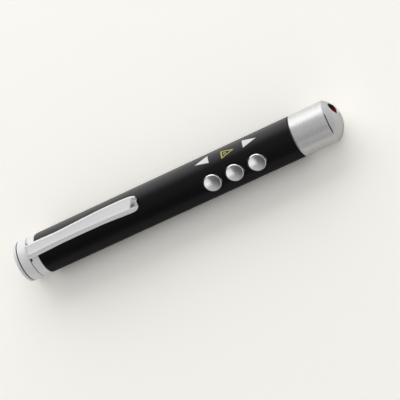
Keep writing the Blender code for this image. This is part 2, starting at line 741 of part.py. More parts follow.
def make_board(key_axis):
    """Circuit board and the parts soldered to it."""
    block_piece("circuit_board", (BOARD_REAR, -BOARD_HALF_WIDTH, BOARD_BOTTOM),
                (BOARD_FRONT, BOARD_HALF_WIDTH, BOARD_TOP), "board_green", key_axis)
    underside = (
        ("boost_chip", BOOST_SIZE, "chip_black", CHIP_BEVEL),
        ("crystal_can", CRYSTAL_SIZE, "nickel", CRYSTAL_ROUND),
        ("radio_chip", RADIO_SIZE, "chip_black", CHIP_BEVEL),
        ("controller_chip", CONTROLLER_SIZE, "chip_black", CHIP_BEVEL),
    )
    free_length = BOARD_FRONT - BOARD_REAR - sum(row[1][0] for row in underside)
    spacing = free_length / (len(underside) + 1)
    rear = BOARD_REAR + spacing
    top = BOARD_BOTTOM - GAP
    for name, size, finish, rounding in underside:
        block_piece(name, (rear, -size[1] / 2, top - size[2]),
                    (rear + size[0], size[1] / 2, top), finish, key_axis, rounding)
        rear += size[0] + spacing
    centre = FRAME_REAR - SIDE_PART_SETBACK
    for name, size, side, finish in (
            ("power_inductor", INDUCTOR_SIZE, -1, "ferrite"),
            ("reservoir_capacitor", CAPACITOR_SIZE, 1, "tantalum")):
        middle = side * (BOARD_HALF_WIDTH - SIDE_PART_MARGIN - size[1] / 2)
        block_piece(name, (centre - size[0] / 2, middle - size[1] / 2, SWITCH_BOTTOM),
                    (centre + size[0] / 2, middle + size[1] / 2, SWITCH_BOTTOM + size[2]),
                    finish, key_axis, CHIP_BEVEL)


def make_ground_spring(key_axis):
    """Bowed leaf between the board and the barrel's bore."""
    rear = FRAME_REAR - GAP - LEAF_LENGTH
    low = BOARD_TOP + GAP + LEAF_THICKNESS / 2
    height = LINER_RADIUS - LEAF_THICKNESS / 2 - low
    knots = [(rear + LEAF_LENGTH * along, LEAF_SIDE, low + height * up)
             for along, up in LEAF_ROUTE_SHARES]
    strip = bmesh.new()
    corners = [strip.verts.new(point - Vector((0.0, LEAF_WIDTH / 2, 0.0)))
               for point in smooth_route(knots, LEAF_POINTS)]
    edges = [strip.edges.new(pair) for pair in zip(corners, corners[1:])]
    swept = bmesh.ops.extrude_edge_only(strip, edges=edges)["geom"]
    moved = [item for item in swept if isinstance(item, bmesh.types.BMVert)]
    bmesh.ops.translate(strip, verts=moved, vec=(0.0, LEAF_WIDTH, 0.0))
    mesh = bpy.data.meshes.new("ground_spring")
    strip.to_mesh(mesh)
    strip.free()
    leaf = add_piece("ground_spring", mesh, "nickel", key_axis)
    solidify = leaf.modifiers.new("Sheet", 'SOLIDIFY')
    solidify.thickness = LEAF_THICKNESS
    solidify.offset = 0.0


def make_carrier(key_axis):
    """Half-round plastic tray with a bulkhead that holds the cell's front contact."""
    carrier = turned_piece("board_carrier",
                           cylinder_points(BULKHEAD_REAR, CARRIER_FRONT, LINER_RADIUS),
                           "black_plastic", BODY_STEPS, parent=key_axis)
    tray_end = CARRIER_FRONT - CARRIER_END_WALL
    hollow = cylinder_points(BULKHEAD_FRONT, tray_end, LINER_RADIUS - CARRIER_WALL)
    combine(carrier, turned_cutter("tray_hollow", hollow, BODY_STEPS, key_axis))
    low = (BULKHEAD_FRONT, -BODY_RADIUS, CARRIER_TOP)
    high = (CARRIER_FRONT + OVERRUN, BODY_RADIUS, BODY_RADIUS)
    combine(carrier, add_cutter("tray_top", box_mesh("tray_top", low, high), key_axis))
    pin_hole = turned_cutter("pin_hole",
                             cylinder_points(BULKHEAD_REAR - OVERRUN, BULKHEAD_FRONT + OVERRUN,
                                             CONTACT_PIN_RADIUS + GAP),
                             SMALL_STEPS, key_axis)
    place = Matrix.Translation((0.0, CONTACT_PIN_SIDE, CONTACT_PIN_LEVEL))
    pin_hole.matrix_basis = place @ pin_hole.matrix_basis
    combine(carrier, pin_hole)


def make_front_contact(key_axis):
    """Disc that meets the cell's nub, with a pin through the bulkhead."""
    disc = cylinder_points(CONTACT_REAR, CONTACT_REAR + CONTACT_THICKNESS, CONTACT_RADIUS)
    contact = turned_piece("positive_contact", disc, "nickel", SMALL_STEPS, parent=key_axis)
    pin = cylinder_points(CONTACT_REAR + CONTACT_THICKNESS / 2,
                          BULKHEAD_FRONT + CONTACT_PIN_REACH, CONTACT_PIN_RADIUS)
    pin_form = turned_cutter("contact_pin", pin, PIN_STEPS, key_axis)
    place = Matrix.Translation((0.0, CONTACT_PIN_SIDE, CONTACT_PIN_LEVEL))
    pin_form.matrix_basis = place @ pin_form.matrix_basis
    combine(contact, pin_form, 'UNION')


def make_cell():
    """AAA cell with its crimp bead, in the tube that insulates it from the barrel."""
    can_front = CELL_REAR + CELL_CAN_LENGTH
    bead = can_front - CELL_BEAD_SETBACK
    waist = CELL_RADIUS - CELL_BEAD_DEPTH
    cell = [
        (CELL_FRONT, 0.0),
        (CELL_FRONT, CELL_NUB_RADIUS),
        (can_front, CELL_NUB_RADIUS),
        (can_front, CELL_RADIUS - EDGE_CHAMFER),
        (can_front - EDGE_CHAMFER, CELL_RADIUS),
        (bead + CELL_BEAD_DEPTH, CELL_RADIUS),
        (bead, waist),
        (bead - CELL_BEAD_DEPTH, CELL_RADIUS),
        (CELL_REAR + EDGE_CHAMFER, CELL_RADIUS),
        (CELL_REAR, CELL_RADIUS - EDGE_CHAMFER),
        (CELL_REAR, 0.0),
    ]
    turned_piece("battery_cell", cell, "cell_wrap", INNER_STEPS)
    turned_piece("battery_tube", ring_points(TUBE_REAR, TUBE_FRONT, LINER_RADIUS,
                                             CELL_RADIUS + GAP),
                 "white_plastic", INNER_STEPS, closed=True)


def make_tail():
    """End plug, screw cap, spring seat, cell spring and the fixed sleeve."""
    fillet = []
    for ring in range(FILLET_RINGS + 1):
        angle = math.pi / 2 * ring / FILLET_RINGS
        fillet.append((PLUG_FILLET * (1 - math.sin(angle)),
                       BODY_RADIUS - PLUG_FILLET * (1 - math.cos(angle))))
    plug = [
        (PLUG_THICKNESS + PLUG_NECK - GAP, 0.0),
        (PLUG_THICKNESS + PLUG_NECK - GAP, PLUG_NECK_RADIUS),
        (PLUG_THICKNESS, PLUG_NECK_RADIUS),
        (PLUG_THICKNESS, BODY_RADIUS),
        *fillet,
        (0.0, 0.0),
    ]
    turned_piece("end_plug", plug, "satin_metal", BODY_STEPS)
    cap_end = CAP_FRONT + CAP_SPIGOT
    cap = [
        (CAP_BORE_FLOOR, 0.0),
        (CAP_BORE_FLOOR, CAP_BORE_RADIUS),
        (cap_end, CAP_BORE_RADIUS),
        (cap_end, CAP_SPIGOT_RADIUS - EDGE_CHAMFER),
        (cap_end - EDGE_CHAMFER, CAP_SPIGOT_RADIUS),
        (CAP_FRONT, CAP_SPIGOT_RADIUS),
        (CAP_FRONT, BODY_RADIUS - EDGE_CHAMFER),
        (CAP_FRONT - EDGE_CHAMFER, BODY_RADIUS),
        (CAP_REAR + EDGE_CHAMFER, BODY_RADIUS),
        (CAP_REAR, BODY_RADIUS - EDGE_CHAMFER),
        (CAP_REAR, PLUG_NECK_RADIUS + GAP),
        (PLUG_SOCKET_FLOOR, PLUG_NECK_RADIUS + GAP),
        (PLUG_SOCKET_FLOOR, 0.0),
    ]
    turned_piece("tail_cap", cap, "satin_metal", BODY_STEPS)
    seat_front = SEAT_REAR + SEAT_THICKNESS
    seat = [
        (seat_front + SEAT_PIP_HEIGHT, 0.0),
        (seat_front + SEAT_PIP_HEIGHT, SEAT_PIP_RADIUS),
        (seat_front, SEAT_PIP_RADIUS),
        (seat_front, CAP_BORE_RADIUS - GAP),
        (SEAT_REAR, CAP_BORE_RADIUS - GAP),
        (SEAT_REAR, 0.0),
    ]
    turned_piece("spring_seat", seat, "nickel", SMALL_STEPS)
    wire = SPRING_WIRE / 2
    coil = helix_points(SPRING_REAR + wire, SPRING_REAR + SPRING_LENGTH - wire,
                        SPRING_BASE_RADIUS, SPRING_TOP_RADIUS, SPRING_TURNS, SPRING_POINTS)
    wire_piece("battery_spring", coil, wire, "spring_steel", resolution=1)
    print("least gap in battery_spring, mm:",
          round(MM_PER_M * smallest_coil_gap(coil, SPRING_POINTS, SPRING_WIRE), 3))
    seat_floor = SLEEVE_REAR + SLEEVE_SEAT_DEPTH
    spigot_end = SLEEVE_FRONT + SLEEVE_SPIGOT
    sleeve = [
        (spigot_end, SLEEVE_BORE_RADIUS),
        (spigot_end, LINER_RADIUS),
        (SLEEVE_FRONT, LINER_RADIUS),
        (SLEEVE_FRONT, BODY_RADIUS - EDGE_CHAMFER),
        (SLEEVE_FRONT - EDGE_CHAMFER, BODY_RADIUS),
        (SLEEVE_REAR + EDGE_CHAMFER, BODY_RADIUS),
        (SLEEVE_REAR, BODY_RADIUS - EDGE_CHAMFER),
        (SLEEVE_REAR, SLEEVE_SEAT_RADIUS),
        (seat_floor, SLEEVE_SEAT_RADIUS),
        (seat_floor, SLEEVE_BORE_RADIUS),
    ]
    sleeve_piece = turned_piece("tail_sleeve", sleeve, "satin_metal", BODY_STEPS, closed=True)
    notch = CLIP_WIDTH / 2 * CLIP_NECK_SHARE + GAP
    low = (SLEEVE_REAR - OVERRUN, -notch, RING_RADIUS - RING_WIDTH)
    high = (seat_floor, notch, BODY_RADIUS + OVERRUN)
    combine(sleeve_piece, add_cutter("sleeve_notch", box_mesh("sleeve_notch", low, high)))
    relief = CLIP_WIDTH / 2 * CLIP_RELIEF_SHARE
    low = (SLEEVE_REAR - OVERRUN, -relief, RING_RADIUS - RING_WIDTH)
    high = (SLEEVE_REAR + CLIP_RELIEF, relief, BODY_RADIUS + OVERRUN)
    combine(sleeve_piece, add_cutter("sleeve_relief", box_mesh("sleeve_relief", low, high)))


def clip_section(shares):
    """Six points across the clip's outer skin at one station."""
    along, width, rise, lean, depth, dish = shares
    station = CLIP_ROOT + CLIP_LENGTH * along
    half = CLIP_WIDTH / 2 * width
    top = BODY_RADIUS + CLIP_RISE * rise
    foot = top - CLIP_FLANGE * depth
    spread = half + CLIP_LEAN * lean
    floor = top - CLIP_DISH * dish
    inner = half * CLIP_DISH_SHARE
    return [
        (station, -spread, foot),
        (station, -half, top),
        (station, -inner, floor),
        (station, inner, floor),
        (station, half, top),
        (station, spread, foot),
    ]


def make_clip():
    """Ring under the tail joint and the pressed arm that springs on its tab."""
    ring = turned_piece("clip_ring",
                        ring_points(RING_REAR, RING_REAR + RING_THICKNESS, RING_RADIUS,
                                    RING_RADIUS - RING_WIDTH),
                        "spring_steel", BODY_STEPS, closed=True)
    neck = CLIP_WIDTH / 2 * CLIP_NECK_SHARE
    low = (RING_REAR - OVERRUN, -neck - GAP, 0.0)
    high = (RING_REAR + RING_THICKNESS + OVERRUN, neck + GAP, BODY_RADIUS)
    combine(ring, add_cutter("ring_notch", box_mesh("ring_notch", low, high)))

    skin = bmesh.new()
    rows = [[skin.verts.new(point) for point in clip_section(shares)]
            for shares in CLIP_SECTION_SHARES]
    for near, far in zip(rows, rows[1:]):
        for left in range(len(near) - 1):
            skin.faces.new((near[left], far[left], far[left + 1], near[left + 1]))
    root = rows[0]
    foot = root[0].co.z
    tab_foot = BODY_RADIUS - CLIP_TAB_DEPTH
    tab_left = skin.verts.new((CLIP_ROOT, -neck, foot))
    tab_right = skin.verts.new((CLIP_ROOT, neck, foot))
    low_left = skin.verts.new((CLIP_ROOT, -neck, tab_foot))
    low_right = skin.verts.new((CLIP_ROOT, neck, tab_foot))
    skin.faces.new((root[0], *root[1:], tab_right, tab_left))
    skin.faces.new((tab_left, tab_right, low_right, low_left))
    bmesh.ops.recalc_face_normals(skin, faces=skin.faces)
    mesh = bpy.data.meshes.new("clip_arm")
    skin.to_mesh(mesh)
    skin.free()
    hinge = make_empty("clip_flex_axis", None,
                       (RING_REAR + RING_THICKNESS / 2, 0.0, RING_RADIUS - RING_WIDTH / 2))
    arm = add_piece("clip_arm", mesh, "spring_steel", hinge)
    arm.matrix_parent_inverse = Matrix.Translation(hinge.location).inverted()
    solidify = arm.modifiers.new("Sheet", 'SOLIDIFY')
    solidify.thickness = CLIP_SHEET
    solidify.offset = -1.0
    solidify.use_even_offset = True
    bevel(arm, CLIP_FOLD)


def around_pen(angle, station, side, level):
    """Point of a frame that is turned about the pen's axis, in the pen's frame."""
    turned = Matrix.Rotation(angle, 3, 'X') @ Vector((0.0, side, level))
    return Vector((station, turned.y, turned.z))


def make_leads(key_axis):
    """Insulated leads between the contact, the board and the laser driver."""
    pin_end = BULKHEAD_FRONT + CONTACT_PIN_REACH + GAP
    pad = BOARD_TOP + GAP + LEAD_RADIUS
    bend = 2 * LEAD_RADIUS
    side = CONTACT_PIN_SIDE
    route = [
        (pin_end, side, CONTACT_PIN_LEVEL),
        (pin_end + bend, side, CONTACT_PIN_LEVEL),
        (pin_end + 2 * bend, side, (CONTACT_PIN_LEVEL + pad) / 2),
        (pin_end + 3 * bend, side, pad),
        (pin_end + 4 * bend, side, pad),
    ]
    wire_piece("battery_lead", smooth_route(route, LEAD_CURVE_POINTS), LEAD_RADIUS,
               "red_insulation", key_axis)
    for name, start, end, finish in (
            ("laser_lead_positive", LEAD_PAD_POSITIVE, LEAD_SIDE_OFFSET, "red_insulation"),
            ("laser_lead_negative", LEAD_PAD_NEGATIVE, -LEAD_SIDE_OFFSET, "black_insulation")):
        level = LASER_OFFSET
        route = [
            around_pen(BUTTON_ANGLE, BOARD_FRONT - LEAD_PAD_SETBACK, start, pad),
            around_pen(BUTTON_ANGLE, BOARD_FRONT - bend, start, pad),
            around_pen(BUTTON_ANGLE, BOARD_FRONT + bend, start, pad),
            around_pen(LASER_ANGLE, DRIVER_REAR - GAP - 2 * bend, end, level),
            around_pen(LASER_ANGLE, DRIVER_REAR - GAP, end, level),
        ]
        wire_piece(name, smooth_route(route, LEAD_CURVE_POINTS), LEAD_RADIUS, finish)


def shade_pieces():
    """Settle each piece's modifiers into its mesh, with round faces smooth."""
    depsgraph = bpy.context.evaluated_depsgraph_get()
    solids = [piece for piece in PARTS.objects if piece.type == 'MESH']
    meshes = [bpy.data.meshes.new_from_object(piece.evaluated_get(depsgraph))
              for piece in solids]
    for piece, mesh in zip(solids, meshes):
        mesh.shade_smooth()
        mesh.set_sharp_from_angle(angle=FOLD_ANGLE)
        piece.modifiers.clear()
        piece.data = mesh
        mesh.name = piece.name


def main():
    """Build every piece of the pen."""
    key_axis = make_empty("key_axis", angle=BUTTON_ANGLE)
    laser_axis = make_empty(
        "laser_axis", angle=LASER_ANGLE,
        location=(0.0, -LASER_OFFSET * math.sin(LASER_ANGLE), LASER_OFFSET * math.cos(LASER_ANGLE)))
    make_barrel(key_axis)
    make_nose(laser_axis)
    make_aperture(laser_axis)
    make_laser_module(laser_axis)
    make_keys(key_axis)
    make_switches(key_axis)
    make_button_frame(key_axis)
    make_board(key_axis)
    make_carrier(key_axis)
    make_front_contact(key_axis)
    make_cell()
    make_tail()
    make_clip()
    make_ground_spring(key_axis)
    make_leads(key_axis)
    shade_pieces()


main()
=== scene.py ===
"""Visual model of a pen-style laser pointer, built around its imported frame.

The file is laid out as an add-on: the sizes and colours are properties, and each piece or
group of like pieces has its own operator. Lengths are in metres, in the frame's own axes:
the pen lies along X with its tail face at the origin, its nose towards +X, its clip on +Z.
"""

import math

import bmesh
import bpy
from mathutils import Matrix, Vector


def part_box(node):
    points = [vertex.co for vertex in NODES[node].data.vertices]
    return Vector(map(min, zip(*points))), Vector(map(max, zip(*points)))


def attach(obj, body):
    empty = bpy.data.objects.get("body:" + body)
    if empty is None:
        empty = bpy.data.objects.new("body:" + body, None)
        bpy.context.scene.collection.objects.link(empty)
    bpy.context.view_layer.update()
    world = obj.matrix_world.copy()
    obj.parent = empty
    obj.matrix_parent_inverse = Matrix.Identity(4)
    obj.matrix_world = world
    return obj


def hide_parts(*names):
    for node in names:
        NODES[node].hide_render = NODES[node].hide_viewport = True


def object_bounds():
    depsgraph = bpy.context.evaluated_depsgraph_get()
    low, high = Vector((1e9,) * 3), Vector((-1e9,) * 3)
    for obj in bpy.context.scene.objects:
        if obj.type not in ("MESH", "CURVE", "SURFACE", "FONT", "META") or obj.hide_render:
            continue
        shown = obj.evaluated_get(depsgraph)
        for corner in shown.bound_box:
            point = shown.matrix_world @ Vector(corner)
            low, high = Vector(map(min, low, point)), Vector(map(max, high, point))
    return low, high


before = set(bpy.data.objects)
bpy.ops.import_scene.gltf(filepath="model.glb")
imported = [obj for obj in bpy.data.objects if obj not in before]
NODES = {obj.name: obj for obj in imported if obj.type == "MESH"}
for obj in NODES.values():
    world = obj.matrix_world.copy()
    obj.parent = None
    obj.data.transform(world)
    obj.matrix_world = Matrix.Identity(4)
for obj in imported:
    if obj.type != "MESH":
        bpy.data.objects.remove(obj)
CAD_LOW, CAD_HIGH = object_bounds()

bl_info = {
    "name": "Pen Laser Pointer",
    "version": (1, 0, 0),
    "blender": (4, 5, 0),
    "location": "3D View > Sidebar > Laser Pointer",
    "description": "Builds a three-key laser pointer pen with procedural materials",
    "category": "Add Mesh",
}


def ends(node):
    """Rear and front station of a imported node."""
    low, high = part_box(node)
    return low.x, high.x


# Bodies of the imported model
PEN = "pen_body"
CLIP_BODY = "clip"
CAP_BODY = "cap"
CARRIAGE = "cap_carriage"

# Stations of the joints between the pieces, read from the frame
BARREL_REAR, BARREL_FRONT = ends("barrel")
NOSE_SPIGOT_REAR, NOSE_TIP = ends("nose_cap")
SLEEVE_REAR, SLEEVE_SPIGOT_END = ends("tail_sleeve")
CAP_REAR, CAP_SPIGOT_END = ends("tail_cap")
RING_REAR, RING_FRONT = ends("clip_ring")

# Fits shared by the pieces
GAP = 0.0003
BARREL_WALL = 0.0008
NOSE_REAR = BARREL_FRONT + GAP
CAP_FRONT = SLEEVE_REAR - GAP
SLEEVE_FRONT = BARREL_REAR - GAP
OVERRUN = 0.001
WELD = 0.000001
SMOOTH_ANGLE = math.radians(32.0)
SMOOTH_WEIGHT = 80

# Roundings that turned edges share
ROUND_TRACE = 0.00005
ROUND_FINE = 0.00008
ROUND_PLAIN = 0.00010
ROUND_SOFT = 0.00015
ROUND_WIDE = 0.00020

# Smoothness of the turned forms
FINE_SEGMENTS = 160
KEY_SEGMENTS = 96
ROUND_STEPS = 5
DOME_STEPS = 26
DISH_STEPS = 10

# Barrel and nose
BARREL_ROUND = 0.00022
NOSE_REAR_ROUND = 0.00042
DOME_HEIGHT = 0.0044
NOSE_POCKET_RADIUS = 0.0059
NOSE_POCKET_FRONT = NOSE_REAR + 0.0015
NOSE_FACE_RADIUS = 0.00782
NOSE_RIM = 0.00012
FACE_LEAST_SLOPE = 0.2

# Line cut at the dome's edge: size, shift from the pen's axis and direction of the shift
NOSE_LINE_WIDTH = 0.00040
NOSE_LINE_RADIUS = 0.01227
NOSE_LINE_SHIFT = 0.00497
NOSE_LINE_ANGLE = math.radians(25.0)

# Laser opening; the glow's span is in radii of the opening from its middle
LASER_ANGLE = math.radians(-48.0)
LASER_OFFSET = 0.0039
APERTURE_RADIUS = 0.00235
APERTURE_FLOOR = 0.1292
MODULE_BORE_RADIUS = 0.0027
COUNTERSINK = 0.00005
COUNTERSINK_SHIFT = (-0.00052, 0.00010)
COUNTERSINK_REACH = 0.0011
LINER_SINK = 0.00012
LINER_SINK_SHIFT = (0.0, -0.00046)
# Painted light: the red glow of the window, painted onto the black liner
GLOW_COLOUR = (0.17, 0.003, 0.004, 1.0)
GLOW_SPAN = (-0.7, 0.2)
BEZEL_WALL = 0.0005
BEZEL_RECESS = 0.00004
BEZEL_GAP = 0.00006
BEZEL_REAR = 0.1305
WINDOW_REAR = 0.1295
WINDOW_FRONT = 0.1302
WINDOW_ROUND = 0.00012

# Keys; the rim's flat and fall are shares of its width
KEY_ANGLE = math.radians(38.0)
KEY_RADIUS = 0.0033
KEY_TOP = 0.0085
KEY_DISH = 0.00042
KEY_RIM = 0.00025
KEY_RIM_FLAT = 0.14
KEY_RIM_FALL = 1.2
KEY_RIM_ROUND = 0.00003
KEY_SKIRT_END = 0.00605
KEY_FLANGE_RADIUS = 0.0039
KEY_FLANGE_TOP = 0.0072
KEY_FLANGE_BOTTOM = 0.0052
KEY_STEM_RADIUS = 0.0016
KEY_STEM_BOTTOM = 0.0031
KEY_TRIM_REACH = 0.01
KEY_NAMES = ("previous", "laser", "next")

# Tail
PLUG_THICKNESS = 0.00135
PLUG_FILLET = 0.00062
SEAM = 0.00010
PLUG_NECK_RADIUS = 0.0042
PLUG_NECK_END = 0.00265
CAP_SOCKET_FLOOR = 0.00325
CAP_BORE_FLOOR = 0.00425
CAP_BORE_RADIUS = 0.0049
CAP_SPIGOT_RADIUS = 0.0059
CAP_SPIGOT_ROUND = 0.00025
SLEEVE_BORE_RADIUS = 0.0062
SLEEVE_SEAT_RADIUS = 0.0076
SLEEVE_SEAT_FLOOR = SLEEVE_REAR + 0.0012
SLEEVE_ROUND = 0.00018
SLOT_FOOT = 0.0065
RING_RADIUS = 0.0073
RING_WIDTH = 0.0008
THREAD_START = CAP_FRONT + 0.0008
THREAD_TURNS = 5.0
THREAD_PITCH = 0.0010
THREAD_HEIGHT = 0.00016
THREAD_POINTS = 480
THREAD_SIDES = 6

# Clip; the pit's flanks are shares of the half width, on the near and on the far side
CLIP_LENGTH = 0.0478
CLIP_WIDTH = 0.00506
CLIP_RISE = 0.00304
CLIP_LEAN = 0.00095
CLIP_FLANGE = 0.0026
CLIP_DISH = 0.00095
CLIP_DISH_FLANKS = (0.16, 0.50)
CLIP_DISH_SLANT = 0.037
CLIP_DISH_DELAY = 0.010
CLIP_ROOT = SLEEVE_REAR
CLIP_SHEET = 0.0005
CLIP_TAB_FOOT = 0.0064
CLIP_NECK = 0.002024
CLIP_RELIEF = 0.0037
CLIP_RELIEF_DEPTH = 0.0007
CLIP_FOLD_RADIUS = 0.00048
CLIP_FOLD_MOST = 0.6
CLIP_LIP = 0.00006
CLIP_LIP_WIDTH = 0.00055
CLIP_EDGE = 0.00009
CLIP_EDGE_SEGMENTS = 3
CLIP_EDGE_ANGLE = math.radians(50.0)
CLIP_STATIONS = 220
CLIP_FLANGE_STEPS = 3
CLIP_FOLD_STEPS = 7
CLIP_ACROSS_STEPS = 20
# Along the clip, then half width, rise, lean, flange depth and dish, all as shares
CLIP_SECTION_SHARES = (
    (0.000, 0.84, 0.46, 0.74, 0.52, 0.0),
    (0.011, 0.84, 0.57, 0.80, 0.65, 0.0),
    (0.040, 0.84, 0.60, 0.84, 0.66, 0.0),
    (0.120, 0.81, 0.61, 0.82, 0.62, 0.0),
    (0.290, 0.75, 0.66, 0.76, 0.60, 0.0),
    (0.420, 0.79, 0.78, 0.72, 0.60, 0.0),
    (0.560, 0.86, 0.87, 0.66, 0.60, 0.0),
    (0.710, 0.93, 0.92, 0.60, 0.64, 0.0),
    (0.870, 0.97, 0.83, 0.68, 0.84, 0.0),
    (0.945, 0.95, 0.73, 0.70, 0.96, 0.0),
    (0.961, 0.92, 0.690, 0.68, 0.89, 0.0),
    (0.967, 0.905, 0.665, 0.665, 0.84, 0.70),
    (0.980, 0.85, 0.605, 0.60, 0.68, 0.85),
    (0.990, 0.76, 0.550, 0.52, 0.49, 0.70),
    (1.000, 0.60, 0.480, 0.45, 0.32, 0.25),
)

# Printed marks: station and angle in degrees, from the clip towards +Y, of each corner
MARK_PREVIOUS = ((0.0788, 27.2), (0.0842, 42.0), (0.0844, 15.7))
MARK_LASER = ((0.0949, 22.8), (0.0896, 35.5), (0.0895, 10.3))
MARK_NEXT = ((0.1041, 26.0), (0.0984, 39.9), (0.0985, 13.7))
MARK_DOT = (0.0911, 22.9)
MARK_RING_RADIUS = 0.00056
MARK_HOLE_RADIUS = 0.00033
MARK_LINE = 0.00036
MARK_THICKNESS = 0.00003
MARK_CORNER = 0.00012
MARK_CORNER_STEPS = 5
MARK_SIDE_STEPS = 14
MARK_CIRCLE_STEPS = 36
MARK_FRAME_RINGS = 3
MARK_FULL_RINGS = 8

# Springs: rear, front, rear radius, front radius, wire radius and turns
BATTERY_SPRING = (0.00525, 0.01425, 0.0040, 0.0022, 0.00025, 6.0)
LENS_SPRING = (0.1207, 0.1237, 0.0014, 0.0014, 0.00012, 4.0)
SPRING_POINTS = 260
SPRING_SIDES = 12

# Camera fitted to the photograph, on a frame of 400 by 400 pixels
FOCAL_PIXELS = 1834.6
FRAME_PIXELS = 400
SENSOR_MM = 36.0
SIGHT_LIMITS = (0.01, 20.0)
CAMERA_TILT = math.radians(19.5)
CAMERA_TURN = 0.288
CAMERA_ROLL = math.radians(24.6)
SIGHT_STATION = 0.0093
SIGHT_OFFSET = Vector((-0.06162, -0.00635, 0.6939))

# Floor: half its width, its place under the pen, how much whiter the camera sees it, and
# how much whiter metal mirrors it before and beyond the pen, over a span of Y
FLOOR_HALF = 3.0
FLOOR_DROP = 0.00002
FLOOR_GAIN = 1.42
FLOOR_METAL_GAINS = (1.12, 1.60)
FLOOR_METAL_SPAN = (-0.02, 0.04)

# Direction in which the sky brightens, over a span of its reach along that direction
SKY_SIDE = (0.45, 0.10, 0.89)
SKY_SPAN = (0.15, 0.95)

# Soft lamps: name, setting of the level, place from the pen's middle, and size
LAMPS = (
    ("key_light", "key_level", (-0.12, 1.24, 0.62), (2.40, 1.32)),
    ("fill_light", "fill_level", (0.09, -1.36, 0.59), (0.72, 0.82)),
)

# Grain and haze of every finish
GRAIN_DETAIL = 4.0
GRAIN_ROUGHNESS = 0.6
HAZE_SCALE = 260.0
HAZE_DETAIL = 2.0
DRAWN_SHARE = 0.04
COAT_ROUGHNESS = 0.1

# Painted shade in the seams between the pieces and in the recesses inside the skin: the share of
# the colour left there, then the radius inside which and the station in front of which it starts
SEAM_SHADE_SHARE = 0.25
NOSE_SEAM_SHADE = (0.00789, NOSE_REAR + 0.001)
TAIL_SEAM_SHADE = (0.0078, 0.0011)

# Lacquer's sheen: where it rises towards a form's edge, its weaker side and least share
GRAZING_SPAN = (0.12, 0.60)
SHEEN_SIDE = (0.0, 0.71, 0.71)
SHEEN_SPAN = (-0.005, 0.003)
SHEEN_LEAST = 0.06

# Painted shade in the pit of the clip's tip, with its ramps as a span and the levels at its ends
PIT_START = 0.9560
PIT_HALF = 0.0019
PIT_PAINTED_SHADE = 0.85
PIT_ALONG = (((0.0, 0.00015), (0.0, 1.0)), ((0.0013, 0.0032), (1.0, 0.15)))
PIT_ACROSS = (((-0.0010, 0.0008), (1.0, 0.30)), ((-0.0021, -0.0018), (0.0, 1.0)),
              ((0.0015, 0.0018), (1.0, 0.0)))

